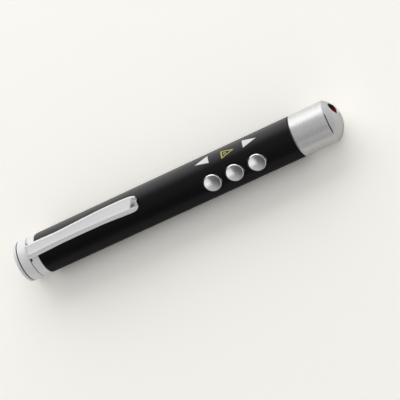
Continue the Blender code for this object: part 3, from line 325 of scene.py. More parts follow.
# Finishes: colour, or the setting that holds it, roughness, and what isn't plain
FINISHES = {
    "satin_black_lacquer": ("lacquer", 0.38, dict(
        grain_size=0.0009, tone=0.18, spread=0.03, relief=0.000003, haze=0.02,
        specular=0.20, grazing=0.70, edge=(0.94, 0.93, 1.0))),
    "blasted_aluminium": ("aluminium", 0.36, dict(
        metallic=0.85, grain_size=0.00055, tone=0.26, spread=0.10, relief=0.0000100,
        haze=0.03, core=NOSE_SEAM_SHADE)),
    # The dome face's rougher blast is its own; its dark edge tint is painted shade on the dome
    # face
    "blasted_dome": ("aluminium", 0.48, dict(
        level=0.98, metallic=0.85, grain_size=0.00055, tone=0.18, spread=0.08,
        relief=0.0000070, haze=0.03, edge=(0.35, 0.35, 0.36))),
    "bored_aluminium": ((0.86, 0.86, 0.87), 0.36, dict(
        metallic=0.4, grain_size=0.00030, tone=0.04, relief=0.000002)),
    # Near-black metal of the line at the dome's edge: painted shade in its groove
    "cut_aluminium": ((0.06, 0.06, 0.06), 0.5, dict(
        metallic=0.6, grain="turned", grain_size=0.00020, tone=0.10, relief=0.000002)),
    "satin_silver_turned": ("satin_silver", 0.36, dict(
        metallic=0.06, grain="turned", grain_size=0.00014, tone=0.03, spread=0.06,
        relief=0.0000015, haze=0.03, core=TAIL_SEAM_SHADE)),
    # The clip's satin silver carries painted shade in the pit of its tip
    "satin_silver_drawn": ("satin_silver", 0.36, dict(
        metallic=0.22, grain="drawn", grain_size=0.00016, tone=0.03, spread=0.06,
        relief=0.0000016, haze=0.03, pit=True)),
    "aperture_black": ((0.006, 0.007, 0.0065), 0.6, dict(
        grain_size=0.0003, tone=0.2, specular=0.12)),
    "red_filter": ((0.42, 0.01, 0.012), 0.08, dict(
        grain_size=0.0006, tone=0.1, spread=0.02, relief=0.000001, transmission=0.55,
        specular=0.6)),
    "spun_key": ((0.84, 0.84, 0.845), 0.25, dict(
        metallic=1.0, grain="spun", grain_size=0.00025, tone=0.03, spread=0.03,
        relief=0.0000003, haze=0.0)),
    "white_print": ("print_white", 0.5, dict(grain_size=0.0002, tone=0.05, relief=0.000002)),
    "yellow_print": ("print_yellow", 0.5, dict(
        grain_size=0.0002, tone=0.08, relief=0.000002)),
    "unplated_steel": ((0.10, 0.10, 0.105), 0.5, dict(
        metallic=0.6, grain="turned", grain_size=0.00020, tone=0.10, relief=0.000002)),
    "spring_wire": ((0.72, 0.71, 0.69), 0.28, dict(
        metallic=1.0, grain_size=0.0003, relief=0.000002)),
    "turned_brass": ((0.72, 0.55, 0.24), 0.28, dict(
        metallic=1.0, grain="turned", grain_size=0.00015, tone=0.05, relief=0.000002)),
    "nickel_plate": ((0.70, 0.69, 0.66), 0.26, dict(
        metallic=1.0, grain_size=0.0005, tone=0.05, relief=0.000002)),
    "moulded_black": ((0.018, 0.018, 0.019), 0.55, dict(
        grain_size=0.00035, tone=0.25, relief=0.000008)),
    "moulded_white": ((0.78, 0.78, 0.75), 0.5, dict(tone=0.03, relief=0.000006)),
    "solder_mask": ((0.025, 0.20, 0.09), 0.38, dict(
        grain_size=0.0006, tone=0.3, relief=0.000010, coat=0.4)),
    "moulded_epoxy": ((0.025, 0.025, 0.026), 0.6, dict(
        grain_size=0.0001, tone=0.3, relief=0.000006)),
    "pressed_ferrite": ((0.12, 0.11, 0.11), 0.8, dict(
        grain_size=0.0002, tone=0.2, relief=0.000015)),
    "yellow_epoxy": ((0.80, 0.55, 0.12), 0.5, dict(
        grain_size=0.0003, tone=0.08, relief=0.000005)),
    "cell_film": ((0.10, 0.22, 0.42), 0.3, dict(grain_size=0.0012, tone=0.05, coat=0.6)),
    "clear_glass": ((0.92, 0.94, 0.96), 0.03, dict(
        grain_size=0.002, tone=0.01, spread=0.01, haze=0.01, relief=0.0,
        transmission=1.0)),
    "red_silicone": ((0.55, 0.025, 0.025), 0.5, dict(tone=0.1, relief=0.000006)),
    "black_silicone": ((0.02, 0.02, 0.02), 0.5, dict(tone=0.2, relief=0.000006)),
}

# Finish of each inner node that stays as it was packed
INNER_FINISHES = {
    "turned_brass": ("laser_housing", "lens_nut"),
    "nickel_plate": ("laser_diode", "switch_previous", "switch_laser", "switch_next",
                     "crystal_can", "ground_spring", "positive_contact", "spring_seat"),
    "moulded_black": ("plunger_previous", "plunger_laser", "plunger_next", "button_frame",
                      "board_carrier"),
    "moulded_white": ("battery_tube",),
    "solder_mask": ("circuit_board", "laser_driver_board"),
    "moulded_epoxy": ("controller_chip", "radio_chip", "boost_chip"),
    "pressed_ferrite": ("power_inductor",),
    "yellow_epoxy": ("reservoir_capacitor",),
    "cell_film": ("battery_cell",),
    "clear_glass": ("laser_lens",),
    "red_silicone": ("laser_lead_positive", "battery_lead"),
    "black_silicone": ("laser_lead_negative",),
}


class PenSizes(bpy.types.PropertyGroup):
    """Sizes of the visible shell."""

    body_diameter: bpy.props.FloatProperty(
        name="Body diameter", description="Outside diameter of the barrel", unit='LENGTH',
        precision=5, default=0.0160)
    key_dish: bpy.props.FloatProperty(
        name="Key dish", description="Depth of the dish in each key", unit='LENGTH',
        precision=5, default=KEY_DISH)
    clip_sheet: bpy.props.FloatProperty(
        name="Clip sheet", description="Thickness of the clip's spring steel", unit='LENGTH',
        precision=5, default=CLIP_SHEET)


class PenColours(bpy.types.PropertyGroup):
    """Colours of the visible finishes."""

    lacquer: bpy.props.FloatVectorProperty(
        name="Lacquer", description="Colour of the barrel's lacquer", subtype='COLOR',
        default=(0.0020, 0.0020, 0.0023))
    aluminium: bpy.props.FloatVectorProperty(
        name="Aluminium", description="Colour of the turned nose", subtype='COLOR',
        default=(0.67, 0.67, 0.675))
    satin_silver: bpy.props.FloatVectorProperty(
        name="Satin silver", description="Colour of the satin plated tail and clip",
        subtype='COLOR', default=(0.95, 0.95, 0.96))
    print_white: bpy.props.FloatVectorProperty(
        name="White print", description="Colour of the two arrow marks", subtype='COLOR',
        default=(0.85, 0.85, 0.85))
    print_yellow: bpy.props.FloatVectorProperty(
        name="Yellow print", description="Colour of the outlined mark", subtype='COLOR',
        default=(0.60, 0.57, 0.12))


class StageSettings(bpy.types.PropertyGroup):
    """Floor and light of the plain studio."""

    floor_colour: bpy.props.FloatVectorProperty(
        name="Floor", description="Colour of the plain floor", subtype='COLOR',
        default=(0.95, 0.93, 0.88))
    sky_low: bpy.props.FloatProperty(
        name="Sky, far side", description="Level of the even light opposite the key light",
        default=0.09)
    sky_high: bpy.props.FloatProperty(
        name="Sky, key side", description="Level of the even light on the key light's side",
        default=0.73)
    key_level: bpy.props.FloatProperty(
        name="Key light", description="Level of the large soft light's face", default=1.38)
    fill_level: bpy.props.FloatProperty(
        name="Fill light", description="Level of the soft light before the pen", default=0.84)


# ---- nodes


def add_node(tree, kind, inputs=None, **settings):
    """New node with its settings, and with each named input linked or set."""
    node = tree.nodes.new(kind)
    for key, value in settings.items():
        setattr(node, key, value)
    for name, value in (inputs or {}).items():
        if isinstance(value, bpy.types.NodeSocket):
            tree.links.new(value, node.inputs[name])
        else:
            node.inputs[name].default_value = value
    return node


def result(tree, kind, inputs=None, **settings):
    """First output of a new node."""
    return add_node(tree, kind, inputs, **settings).outputs[0]


def maths(tree, operation, first, second=0.0):
    """Result of a Math node."""
    return result(tree, "ShaderNodeMath", {0: first, 1: second}, operation=operation)


def split(tree, vector):
    """X, Y and Z of a vector."""
    return add_node(tree, "ShaderNodeSeparateXYZ", {0: vector}).outputs


def join(tree, x=0.0, y=0.0, z=0.0):
    """Vector of its three parts."""
    return result(tree, "ShaderNodeCombineXYZ", {"X": x, "Y": y, "Z": z})


def ramp(tree, value, span, levels):
    """Value led over a span from one level to another."""
    return result(tree, "ShaderNodeMapRange",
                  {"Value": value, "From Min": span[0], "From Max": span[1],
                   "To Min": levels[0], "To Max": levels[1]})


def reach(tree, vector, direction):
    """Reach of a vector along a direction."""
    return add_node(tree, "ShaderNodeVectorMath", {0: vector, 1: direction},
                    operation='DOT_PRODUCT').outputs["Value"]


def scaled(tree, colour, share):
    """Colour times a share."""
    return result(tree, "ShaderNodeVectorMath", {0: colour, "Scale": share}, operation='SCALE')


def object_place(tree):
    """Place on the piece's own axes."""
    return add_node(tree, "ShaderNodeTexCoord").outputs["Object"]


def around_axis(tree, radius, angle):
    """Sideways and upward parts of a point about the X axis."""
    return (maths(tree, 'MULTIPLY', radius, maths(tree, 'SINE', angle)),
            maths(tree, 'MULTIPLY', radius, maths(tree, 'COSINE', angle)))


def geometry_tree(name, sockets):
    """Geometry node tree with named inputs; returns the tree, its inputs and its end."""
    tree = bpy.data.node_groups.new(name, 'GeometryNodeTree')
    tree.interface.new_socket("Geometry", in_out='INPUT', socket_type='NodeSocketGeometry')
    for label, kind, default in sockets:
        socket = tree.interface.new_socket(label, in_out='INPUT', socket_type=kind)
        if default is not None:
            socket.default_value = default
    tree.interface.new_socket("Geometry", in_out='OUTPUT', socket_type='NodeSocketGeometry')
    return (tree, tree.nodes.new("NodeGroupInput").outputs,
            tree.nodes.new("NodeGroupOutput"))


def end_tree(tree, target, geometry, material):
    """Close a tree with Realize Instances and Set Material."""
    solid = result(tree, "GeometryNodeRealizeInstances", {"Geometry": geometry})
    dressed = result(tree, "GeometryNodeSetMaterial", {"Geometry": solid, "Material": material})
    tree.links.new(dressed, target.inputs[0])
    return tree


def turned_form_tree():
    """Turns an outline of (station, radius) points about the X axis."""
    tree, given, target = geometry_tree("turned_form", (
        ("Segments", 'NodeSocketInt', FINE_SEGMENTS),
        ("Weld", 'NodeSocketFloat', WELD),
        ("Material", 'NodeSocketMaterial', None),
    ))
    count = result(tree, "GeometryNodeAttributeDomainSize",
                   {"Geometry": given["Geometry"]}, component='MESH')
    around = maths(tree, 'ADD', given["Segments"], 1.0)
    grid = result(tree, "GeometryNodeMeshGrid", {"Vertices X": count, "Vertices Y": around})
    index = result(tree, "GeometryNodeInputIndex")
    row = maths(tree, 'FLOOR', maths(tree, 'DIVIDE', maths(tree, 'ADD', index, 0.5), around))
    column = maths(tree, 'SUBTRACT', index, maths(tree, 'MULTIPLY', row, around))
    place = result(tree, "GeometryNodeInputPosition")
    sample = result(tree, "GeometryNodeSampleIndex",
                    {"Geometry": given["Geometry"], "Value": place, "Index": row},
                    data_type='FLOAT_VECTOR', domain='POINT')
    outline = split(tree, sample)
    angle = maths(tree, 'MULTIPLY', maths(tree, 'DIVIDE', column, given["Segments"]),
                  2 * math.pi)
    side, up = around_axis(tree, outline["Y"], angle)
    moved = result(tree, "GeometryNodeSetPosition",
                   {"Geometry": grid, "Position": join(tree, outline["X"], side, up)})
    welded = result(tree, "GeometryNodeMergeByDistance",
                    {"Geometry": moved, "Distance": given["Weld"]})
    return end_tree(tree, target, welded, given["Material"])


def coil_tree():
    """Winds a wire about the X axis."""
    tree, given, target = geometry_tree("coil", (
        ("Rear", 'NodeSocketFloat', 0.0),
        ("Front", 'NodeSocketFloat', 0.01),
        ("Rear Radius", 'NodeSocketFloat', 0.004),
        ("Front Radius", 'NodeSocketFloat', 0.002),
        ("Wire Radius", 'NodeSocketFloat', 0.0003),
        ("Turns", 'NodeSocketFloat', 6.0),
        ("Points", 'NodeSocketInt', SPRING_POINTS),
        ("Sides", 'NodeSocketInt', SPRING_SIDES),
        ("Material", 'NodeSocketMaterial', None),
    ))
    line = result(tree, "GeometryNodeMeshLine", {"Count": given["Points"]})
    index = result(tree, "GeometryNodeInputIndex")
    share = maths(tree, 'DIVIDE', index, maths(tree, 'SUBTRACT', given["Points"], 1.0))
    angle = maths(tree, 'MULTIPLY', maths(tree, 'MULTIPLY', share, given["Turns"]),
                  2 * math.pi)
    whole = (0.0, 1.0)
    radius = ramp(tree, share, whole, (given["Rear Radius"], given["Front Radius"]))
    station = ramp(tree, share, whole, (given["Rear"], given["Front"]))
    side, up = around_axis(tree, radius, angle)
    moved = result(tree, "GeometryNodeSetPosition",
                   {"Geometry": line, "Position": join(tree, station, side, up)})
    path = result(tree, "GeometryNodeMeshToCurve", {0: moved})
    ring = result(tree, "GeometryNodeCurvePrimitiveCircle",
                  {"Resolution": given["Sides"], "Radius": given["Wire Radius"]})
    wire = result(tree, "GeometryNodeCurveToMesh",
                  {"Curve": path, "Profile Curve": ring, "Fill Caps": True})
    return end_tree(tree, target, wire, given["Material"])


TREES = {}


def run_tree(piece, tree_name, values):
    """Run a geometry tree on a piece with the named inputs, and keep the plain mesh."""
    makers = {"turned_form": turned_form_tree, "coil": coil_tree}
    if tree_name not in TREES:
        TREES[tree_name] = makers[tree_name]()
    tree = TREES[tree_name]
    modifier = piece.modifiers.new(tree_name, 'NODES')
    modifier.node_group = tree
    for item in tree.interface.items_tree:
        if item.in_out == 'INPUT' and item.name in values:
            modifier[item.identifier] = values[item.name]
    bake(piece)
    face_outwards(piece.data)


# ---- meshes


def new_object(name, mesh):
    """Object of a mesh, linked to the scene."""
    piece = bpy.data.objects.new(name, mesh)
    bpy.context.scene.collection.objects.link(piece)
    return piece


def bake(piece):
    """Settle a piece's modifiers into a plain mesh of its own."""
    depsgraph = bpy.context.evaluated_depsgraph_get()
    mesh = bpy.data.meshes.new_from_object(piece.evaluated_get(depsgraph))
    piece.modifiers.clear()
    piece.data = mesh
    mesh.name = piece.name


def face_outwards(mesh):
    """Point every face of a closed mesh outwards."""
    form = bmesh.new()
    form.from_mesh(mesh)
    bmesh.ops.recalc_face_normals(form, faces=form.faces)
    form.to_mesh(mesh)
    form.free()


def settle(form, name, material=None):
    """Object of a finished form."""
    mesh = bpy.data.meshes.new(name)
    form.to_mesh(mesh)
    form.free()
    if material:
        mesh.materials.append(material)
    return new_object(name, mesh)


def bend(start, corner, end, steps):
    """Points of a round corner, both its ends among them."""
    points = []
    for step in range(steps + 1):
        t = step / steps
        points.append(start * (1 - t) ** 2 + corner * 2 * t * (1 - t) + end * t ** 2)
    return points


def rounded(corners, closed=False):
    """Outline with its corners rounded; a corner is (station, radius, rounding)."""
    count = len(corners)
    points = []
    for index, (station, radius, rounding) in enumerate(corners):
        here = Vector((station, radius))
        if not rounding or (not closed and index in (0, count - 1)):
            points.append(here)
            continue
        before = Vector(corners[index - 1][:2]) - here
        after = Vector(corners[(index + 1) % count][:2]) - here
        points += bend(here + before.normalized() * rounding, here,
                       here + after.normalized() * rounding, ROUND_STEPS)
    return [tuple(point) for point in points]


def rod(first, last, radius):
    """Outline of a plain cylinder between two stations."""
    return [(first, 0.0), (first, radius), (last, radius), (last, 0.0)]


def turned(name, outline, material, segments=FINE_SEGMENTS, closed=False, place=None):
    """Turned piece about X, or about another axis when placed by a matrix."""
    points = list(outline) + ([outline[0]] if closed else [])
    mesh = bpy.data.meshes.new(name)
    edges = [(index, index + 1) for index in range(len(points) - 1)]
    mesh.from_pydata([(station, radius, 0.0) for station, radius in points], edges, [])
    piece = new_object(name, mesh)
    run_tree(piece, "turned_form",
             {"Segments": segments, "Weld": WELD, "Material": material})
    if place is not None:
        piece.data.transform(place)
    return piece


def coiled(name, span, radii, wire, turns, points, sides, material):
    """Wire wound about X between two stations."""
    piece = new_object(name, bpy.data.meshes.new(name))
    run_tree(piece, "coil", {
        "Rear": span[0], "Front": span[1], "Rear Radius": radii[0], "Front Radius": radii[1],
        "Wire Radius": wire, "Turns": turns, "Points": points, "Sides": sides,
        "Material": material})
    return piece


def combine(piece, tool, operation='DIFFERENCE'):
    """Boolean of a piece with a tool, which is then removed."""
    modifier = piece.modifiers.new(operation.title(), 'BOOLEAN')
    modifier.operation = operation
    modifier.solver = 'EXACT'
    modifier.material_mode = 'TRANSFER'
    modifier.object = tool
    bake(piece)
    bpy.data.objects.remove(tool)


def keep(piece, body, replaces=None):
    """Smooth a finished piece and declare its body and the node it stands for."""
    piece.data.shade_smooth()
    piece.data.set_sharp_from_angle(angle=SMOOTH_ANGLE)
    weighted = piece.modifiers.new("Weighted", 'WEIGHTED_NORMAL')
    weighted.keep_sharp = True
    weighted.weight = SMOOTH_WEIGHT
    bake(piece)
    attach(piece, body)
    if replaces:
        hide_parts(replaces)


# ---- places shared by the pieces


def key_station(name):
    """Station of a key along the pen."""
    return sum(ends("button_" + name)) / 2


def key_matrix(station):
    """Place of a form turned about X that stands on a key's axis."""
    return (Matrix.Rotation(KEY_ANGLE, 4, 'X') @ Matrix.Translation((station, 0.0, 0.0))
            @ Matrix.Rotation(-math.pi / 2, 4, 'Y'))


def laser_matrix():
    """Place of a form turned about X that lies on the laser's axis."""
    return (Matrix.Rotation(LASER_ANGLE, 4, 'X')
            @ Matrix.Translation((0.0, 0.0, LASER_OFFSET)))


def body_radius():
    """Outside radius of the barrel."""
    return bpy.context.scene.pen_sizes.body_diameter / 2


def liner_radius():
    """Radius of what fits inside the barrel."""
    return body_radius() - BARREL_WALL - GAP


def sphere_radius(half, height):
    """Radius of the sphere whose cap has this half width and this height."""
    return (half ** 2 + height ** 2) / (2 * height)


def dome_outline(radius, inset=0.0):
    """Points of the domed face from the tip outwards."""
    sphere = sphere_radius(body_radius(), DOME_HEIGHT)
    points = []
    for step in range(DOME_STEPS + 1):
        distance = radius * step / DOME_STEPS
        station = NOSE_TIP - sphere + math.sqrt((sphere - inset) ** 2 - distance ** 2)
        points.append((station, distance))
    return points


def opening_cone(metal, wider, shift):
    """Cone that breaks the opening's edge, square to the dome and shifted on it."""
    sphere = sphere_radius(body_radius(), DOME_HEIGHT)
    wide = APERTURE_RADIUS + wider
    deep = COUNTERSINK_REACH
    cone = [(sphere + deep, 0.0), (sphere + deep, wide + deep), (sphere - deep, wide - deep),
            (sphere - deep, 0.0)]
    place = (Matrix.Rotation(LASER_ANGLE, 4, 'X')
             @ Matrix.Translation((NOSE_TIP - sphere, *shift))
             @ Matrix.Rotation(-math.asin(LASER_OFFSET / sphere), 4, 'Y'))
    return turned("opening_cone", cone, metal, KEY_SEGMENTS, place=place)


# ---- materials


def length_of(tree, first, second):
    """Length of a vector with two parts."""
    squares = maths(tree, 'ADD', maths(tree, 'MULTIPLY', first, first),
                    maths(tree, 'MULTIPLY', second, second))
    return maths(tree, 'SQRT', squares)


def pattern_vectors(tree, grain, axis):
    """Place on the piece, and the same bent to the way in which its surface was worked."""
    place = object_place(tree)
    if axis:
        station, angle = axis
        for label, value in (("Location", -station), ("Rotation", -angle)):
            place = result(tree, "ShaderNodeMapping",
                           {"Vector": place, label: (value, 0.0, 0.0)})
    x, y, z = split(tree, place)
    worked = {
        "even": lambda: place,
        "turned": lambda: join(tree, x, length_of(tree, y, z)),
        "spun": lambda: join(tree, length_of(tree, x, y), z),
        "drawn": lambda: join(tree, maths(tree, 'MULTIPLY', x, DRAWN_SHARE), y, z),
    }
    return place, worked[grain]()


def seam_shade_share(tree, place, core):
    """Share of the colour that is left inside a radius and in front of a station, as painted
    shade in the seams.
    """
    radius, station = core
    x, y, z = split(tree, place)
    inside = maths(tree, 'LESS_THAN', length_of(tree, y, z), radius)
    ahead = maths(tree, 'GREATER_THAN', x, station)
    return ramp(tree, maths(tree, 'MULTIPLY', inside, ahead), (0.0, 1.0), (1.0, SEAM_SHADE_SHARE))


def pit_shade_share(tree, place):
    """Share of the colour that is left where shade is painted into the pit of the clip's tip."""
    x, across, _ = split(tree, place)
    slope = CLIP_DISH_SLANT * CLIP_LENGTH / (2 * PIT_HALF)
    along = maths(tree, 'SUBTRACT', x, maths(tree, 'MULTIPLY', across, slope))
    start = CLIP_ROOT + CLIP_LENGTH * PIT_START
    share = PIT_PAINTED_SHADE
    for value, shift, ramps in ((along, start, PIT_ALONG), (across, 0.0, PIT_ACROSS)):
        for span, levels in ramps:
            part = ramp(tree, value, [shift + end for end in span], levels)
            share = maths(tree, 'MULTIPLY', part, share)
    return maths(tree, 'SUBTRACT', 1.0, share)


def sheen_level(tree, place, specular, grazing):
    """Specular level that rises at the edges of a form, weaker on the floor's side."""
    facing = add_node(tree, "ShaderNodeLayerWeight", {"Blend": 0.5}).outputs["Facing"]
    level = ramp(tree, facing, GRAZING_SPAN, (specular, grazing))
    share = ramp(tree, reach(tree, place, SHEEN_SIDE), SHEEN_SPAN, (SHEEN_LEAST, 1.0))
    return maths(tree, 'MULTIPLY', level, share)


def make_surface(name, colour, roughness, level=1.0, metallic=0.0, grain="even",
                 grain_size=0.0004, tone=0.06, spread=0.05, relief=0.000004, haze=0.05,
                 coat=0.0, specular=0.5, transmission=0.0, grazing=None, core=None,
                 edge=(1.0, 1.0, 1.0), pit=False, axis=None):
    """Procedural material: worked grain, soft haze and fine relief on one colour.

    Level scales the colour. Tone and spread are how much the grain varies the colour and
    the roughness, haze how much broad patches vary the roughness. Grazing is the specular
    level at the edges of a form, edge the tint there. Core (a radius and a station) and
    pit say where shade is painted into the colour: in the seams and in the clip's pit. Axis is
    the station and the angle of a spun form.
    """
    material = bpy.data.materials.new(name)
    material.use_nodes = True
    tree = material.node_tree
    shader = tree.nodes["Principled BSDF"].inputs
    for label, value in (("Metallic", metallic), ("Specular IOR Level", specular),
                         ("Specular Tint", (*edge, 1.0)), ("Coat Weight", coat),
                         ("Coat Roughness", COAT_ROUGHNESS),
                         ("Transmission Weight", transmission)):
        shader[label].default_value = value
    place, worked = pattern_vectors(tree, grain, axis)
    fine = result(tree, "ShaderNodeTexNoise",
                  {"Vector": worked, "Scale": 1 / grain_size, "Detail": GRAIN_DETAIL,
                   "Roughness": GRAIN_ROUGHNESS})
    broad = result(tree, "ShaderNodeTexNoise",
                   {"Vector": place, "Scale": HAZE_SCALE, "Detail": HAZE_DETAIL})
    middle = [level * channel for channel in colour]
    darker = [channel * (1 - tone) for channel in middle]
    lighter = [min(1.0, channel * (1 + tone)) for channel in middle]
    shown = add_node(tree, "ShaderNodeMix", {0: fine, 6: (*darker, 1.0), 7: (*lighter, 1.0)},
                     data_type='RGBA').outputs[2]
    # Painted shade darkens the colour in the seams and recesses
    if core:
        shown = scaled(tree, shown, seam_shade_share(tree, place, core))
    # Painted shade darkens the colour in the pit of the clip's tip
    if pit:
        shown = scaled(tree, shown, pit_shade_share(tree, place))
    tree.links.new(shown, shader["Base Color"])
    if grazing is not None:
        tree.links.new(sheen_level(tree, place, specular, grazing),
                       shader["Specular IOR Level"])
    grain_part, haze_part = (
        maths(tree, 'MULTIPLY', maths(tree, 'SUBTRACT', noise, 0.5), 2 * share)
        for noise, share in ((fine, spread), (broad, haze)))
    rough = maths(tree, 'ADD', maths(tree, 'ADD', grain_part, haze_part), roughness)
    tree.links.new(rough, shader["Roughness"])
    if relief:
        bump = result(tree, "ShaderNodeBump",
                      {"Height": fine, "Strength": 1.0, "Distance": relief})
        tree.links.new(bump, shader["Normal"])
    return material


MATERIALS = {}


def surface(name, finish=None, axis=None):
    """Material of a finish, made once for each name."""
    if name not in MATERIALS:
        colour, roughness, settings = FINISHES[finish or name]
        if isinstance(colour, str):
            colour = getattr(bpy.context.scene.pen_colours, colour)
        MATERIALS[name] = make_surface(name, colour, roughness, axis=axis, **settings)
    return MATERIALS[name]


# ---- operators


class BuildStage(bpy.types.Operator):
    """Make the camera, the floor and the soft studio light"""

    bl_idname = "laser_pointer.build_stage"
    bl_label = "Stage"

    def execute(self, context):
        settings = context.scene.stage_settings
        self.add_camera(context)
        self.add_floor(settings)
        self.add_sky(context, settings)
        self.add_lamps(settings)
        context.scene.view_settings.view_transform = 'Standard'
        return {'FINISHED'}

    def sight_axes(self):
        """Right, down and forward directions before the camera is rolled."""
        tilt, turn = CAMERA_TILT, CAMERA_TURN
        along = Vector((1.0, 0.0, 0.0))
        down = Vector((0.0, -math.cos(tilt), -math.sin(tilt)))
        nearer = Vector((0.0, -math.sin(tilt), math.cos(tilt)))
        right = along * math.cos(turn) - nearer * math.sin(turn)
        forward = -along * math.sin(turn) - nearer * math.cos(turn)
        return right, down, forward

    def add_camera(self, context):
        """Camera at the photograph's place and focal length."""
        right, down, forward = self.sight_axes()
        target = Vector((SIGHT_STATION, 0.0, 0.0))
        location = target - (right * SIGHT_OFFSET.x + down * SIGHT_OFFSET.y
                             + forward * SIGHT_OFFSET.z)
        roll = CAMERA_ROLL
        photo_right = right * math.cos(roll) + down * math.sin(roll)
        photo_down = -right * math.sin(roll) + down * math.cos(roll)
        data = bpy.data.cameras.new("photo_camera")
        data.sensor_width = SENSOR_MM
        data.lens = FOCAL_PIXELS / FRAME_PIXELS * SENSOR_MM
        data.clip_start, data.clip_end = SIGHT_LIMITS
        camera = new_object("photo_camera", data)
        turn = Matrix((photo_right, -photo_down, -forward)).transposed()
        camera.matrix_world = Matrix.Translation(location) @ turn.to_4x4()
        context.scene.camera = camera

    def add_floor(self, settings):
        """Plain pale floor under the pen."""
        level = CAD_LOW.z - FLOOR_DROP
        corners = [(x * FLOOR_HALF, y * FLOOR_HALF, level)
                   for x, y in ((-1, -1), (1, -1), (1, 1), (-1, 1))]
        mesh = bpy.data.meshes.new("floor")
        mesh.from_pydata(corners, [], [(0, 1, 2, 3)])
        floor = new_object("floor", mesh)
        paper = make_surface("floor_paper", settings.floor_colour, 0.9, grain_size=0.0030,
                             tone=0.010, spread=0.02, relief=0.0, haze=0.01, specular=0.1)
        self.whiten(paper.node_tree)
        mesh.materials.append(paper)

    def whiten(self, tree):
        """Show the floor whiter to the camera and in metal and glass, its shadow kept."""
        path = add_node(tree, "ShaderNodeLightPath").outputs
        seen = maths(tree, 'MAXIMUM', path["Is Camera Ray"], path["Is Transmission Ray"])
        seen = maths(tree, 'MULTIPLY', seen, FLOOR_GAIN - 1)
        metal = ramp(tree, split(tree, object_place(tree))["Y"], FLOOR_METAL_SPAN,
                     [gain - 1 for gain in FLOOR_METAL_GAINS])
        mirrored = maths(tree, 'MULTIPLY', path["Is Glossy Ray"], metal)
        gain = maths(tree, 'ADD', maths(tree, 'ADD', seen, mirrored), 1.0)
        colour = tree.nodes["Principled BSDF"].inputs["Base Color"]
        tree.links.new(scaled(tree, colour.links[0].from_socket, gain), colour)

    def add_sky(self, context, settings):
        """Even surrounding light, softly brighter on the key light's side."""
        world = bpy.data.worlds.new("studio")
        world.use_nodes = True
        tree = world.node_tree
        tree.nodes.clear()
        direction = add_node(tree, "ShaderNodeTexCoord").outputs["Generated"]
        level = ramp(tree, reach(tree, direction, SKY_SIDE), SKY_SPAN,
                     (settings.sky_low, settings.sky_high))
        light = result(tree, "ShaderNodeBackground",
                       {"Color": (1.0, 1.0, 1.0, 1.0), "Strength": level})
        shown = result(tree, "ShaderNodeBackground",
                       {"Color": (*settings.floor_colour, 1.0), "Strength": 1.0})
        ray = add_node(tree, "ShaderNodeLightPath").outputs["Is Camera Ray"]
        mix = result(tree, "ShaderNodeMixShader", {0: ray, 1: light, 2: shown})
        add_node(tree, "ShaderNodeOutputWorld", {0: mix})
        context.scene.world = world

    def add_lamps(self, settings):
        """One large soft light beyond the pen and a smaller one before it."""
        middle = Vector(((CAD_LOW.x + CAD_HIGH.x) / 2, 0.0, 0.0))
        for name, level, offset, size in LAMPS:
            data = bpy.data.lights.new(name, 'AREA')
            data.shape = 'RECTANGLE'
            data.size, data.size_y = size
            data.energy = getattr(settings, level) * math.pi * size[0] * size[1]
            lamp = new_object(name, data)
            offset = Vector(offset)
            lamp.location = middle + offset
            lamp.rotation_mode = 'QUATERNION'
            lamp.rotation_quaternion = (-offset).to_track_quat('-Z', 'Y')


class BuildBarrel(bpy.types.Operator):
    """Turn the black barrel and drill its key holes"""

    bl_idname = "laser_pointer.build_barrel"
    bl_label = "Barrel"

    def execute(self, context):
        outer = body_radius()
        bore = outer - BARREL_WALL
        outline = rounded([
            (BARREL_FRONT, bore, 0.0), (BARREL_FRONT, outer, BARREL_ROUND),
            (BARREL_REAR, outer, BARREL_ROUND), (BARREL_REAR, bore, 0.0),
        ], closed=True)
        lacquer = surface("satin_black_lacquer")
        barrel = turned("barrel_tube", outline, lacquer, closed=True)
        hole = rod(KEY_FLANGE_BOTTOM, KEY_TOP, KEY_RADIUS + GAP)
        for name in KEY_NAMES:
            place = key_matrix(key_station(name))
            combine(barrel, turned("hole", hole, lacquer, KEY_SEGMENTS, place=place))
        keep(barrel, PEN, "barrel")
        return {'FINISHED'}


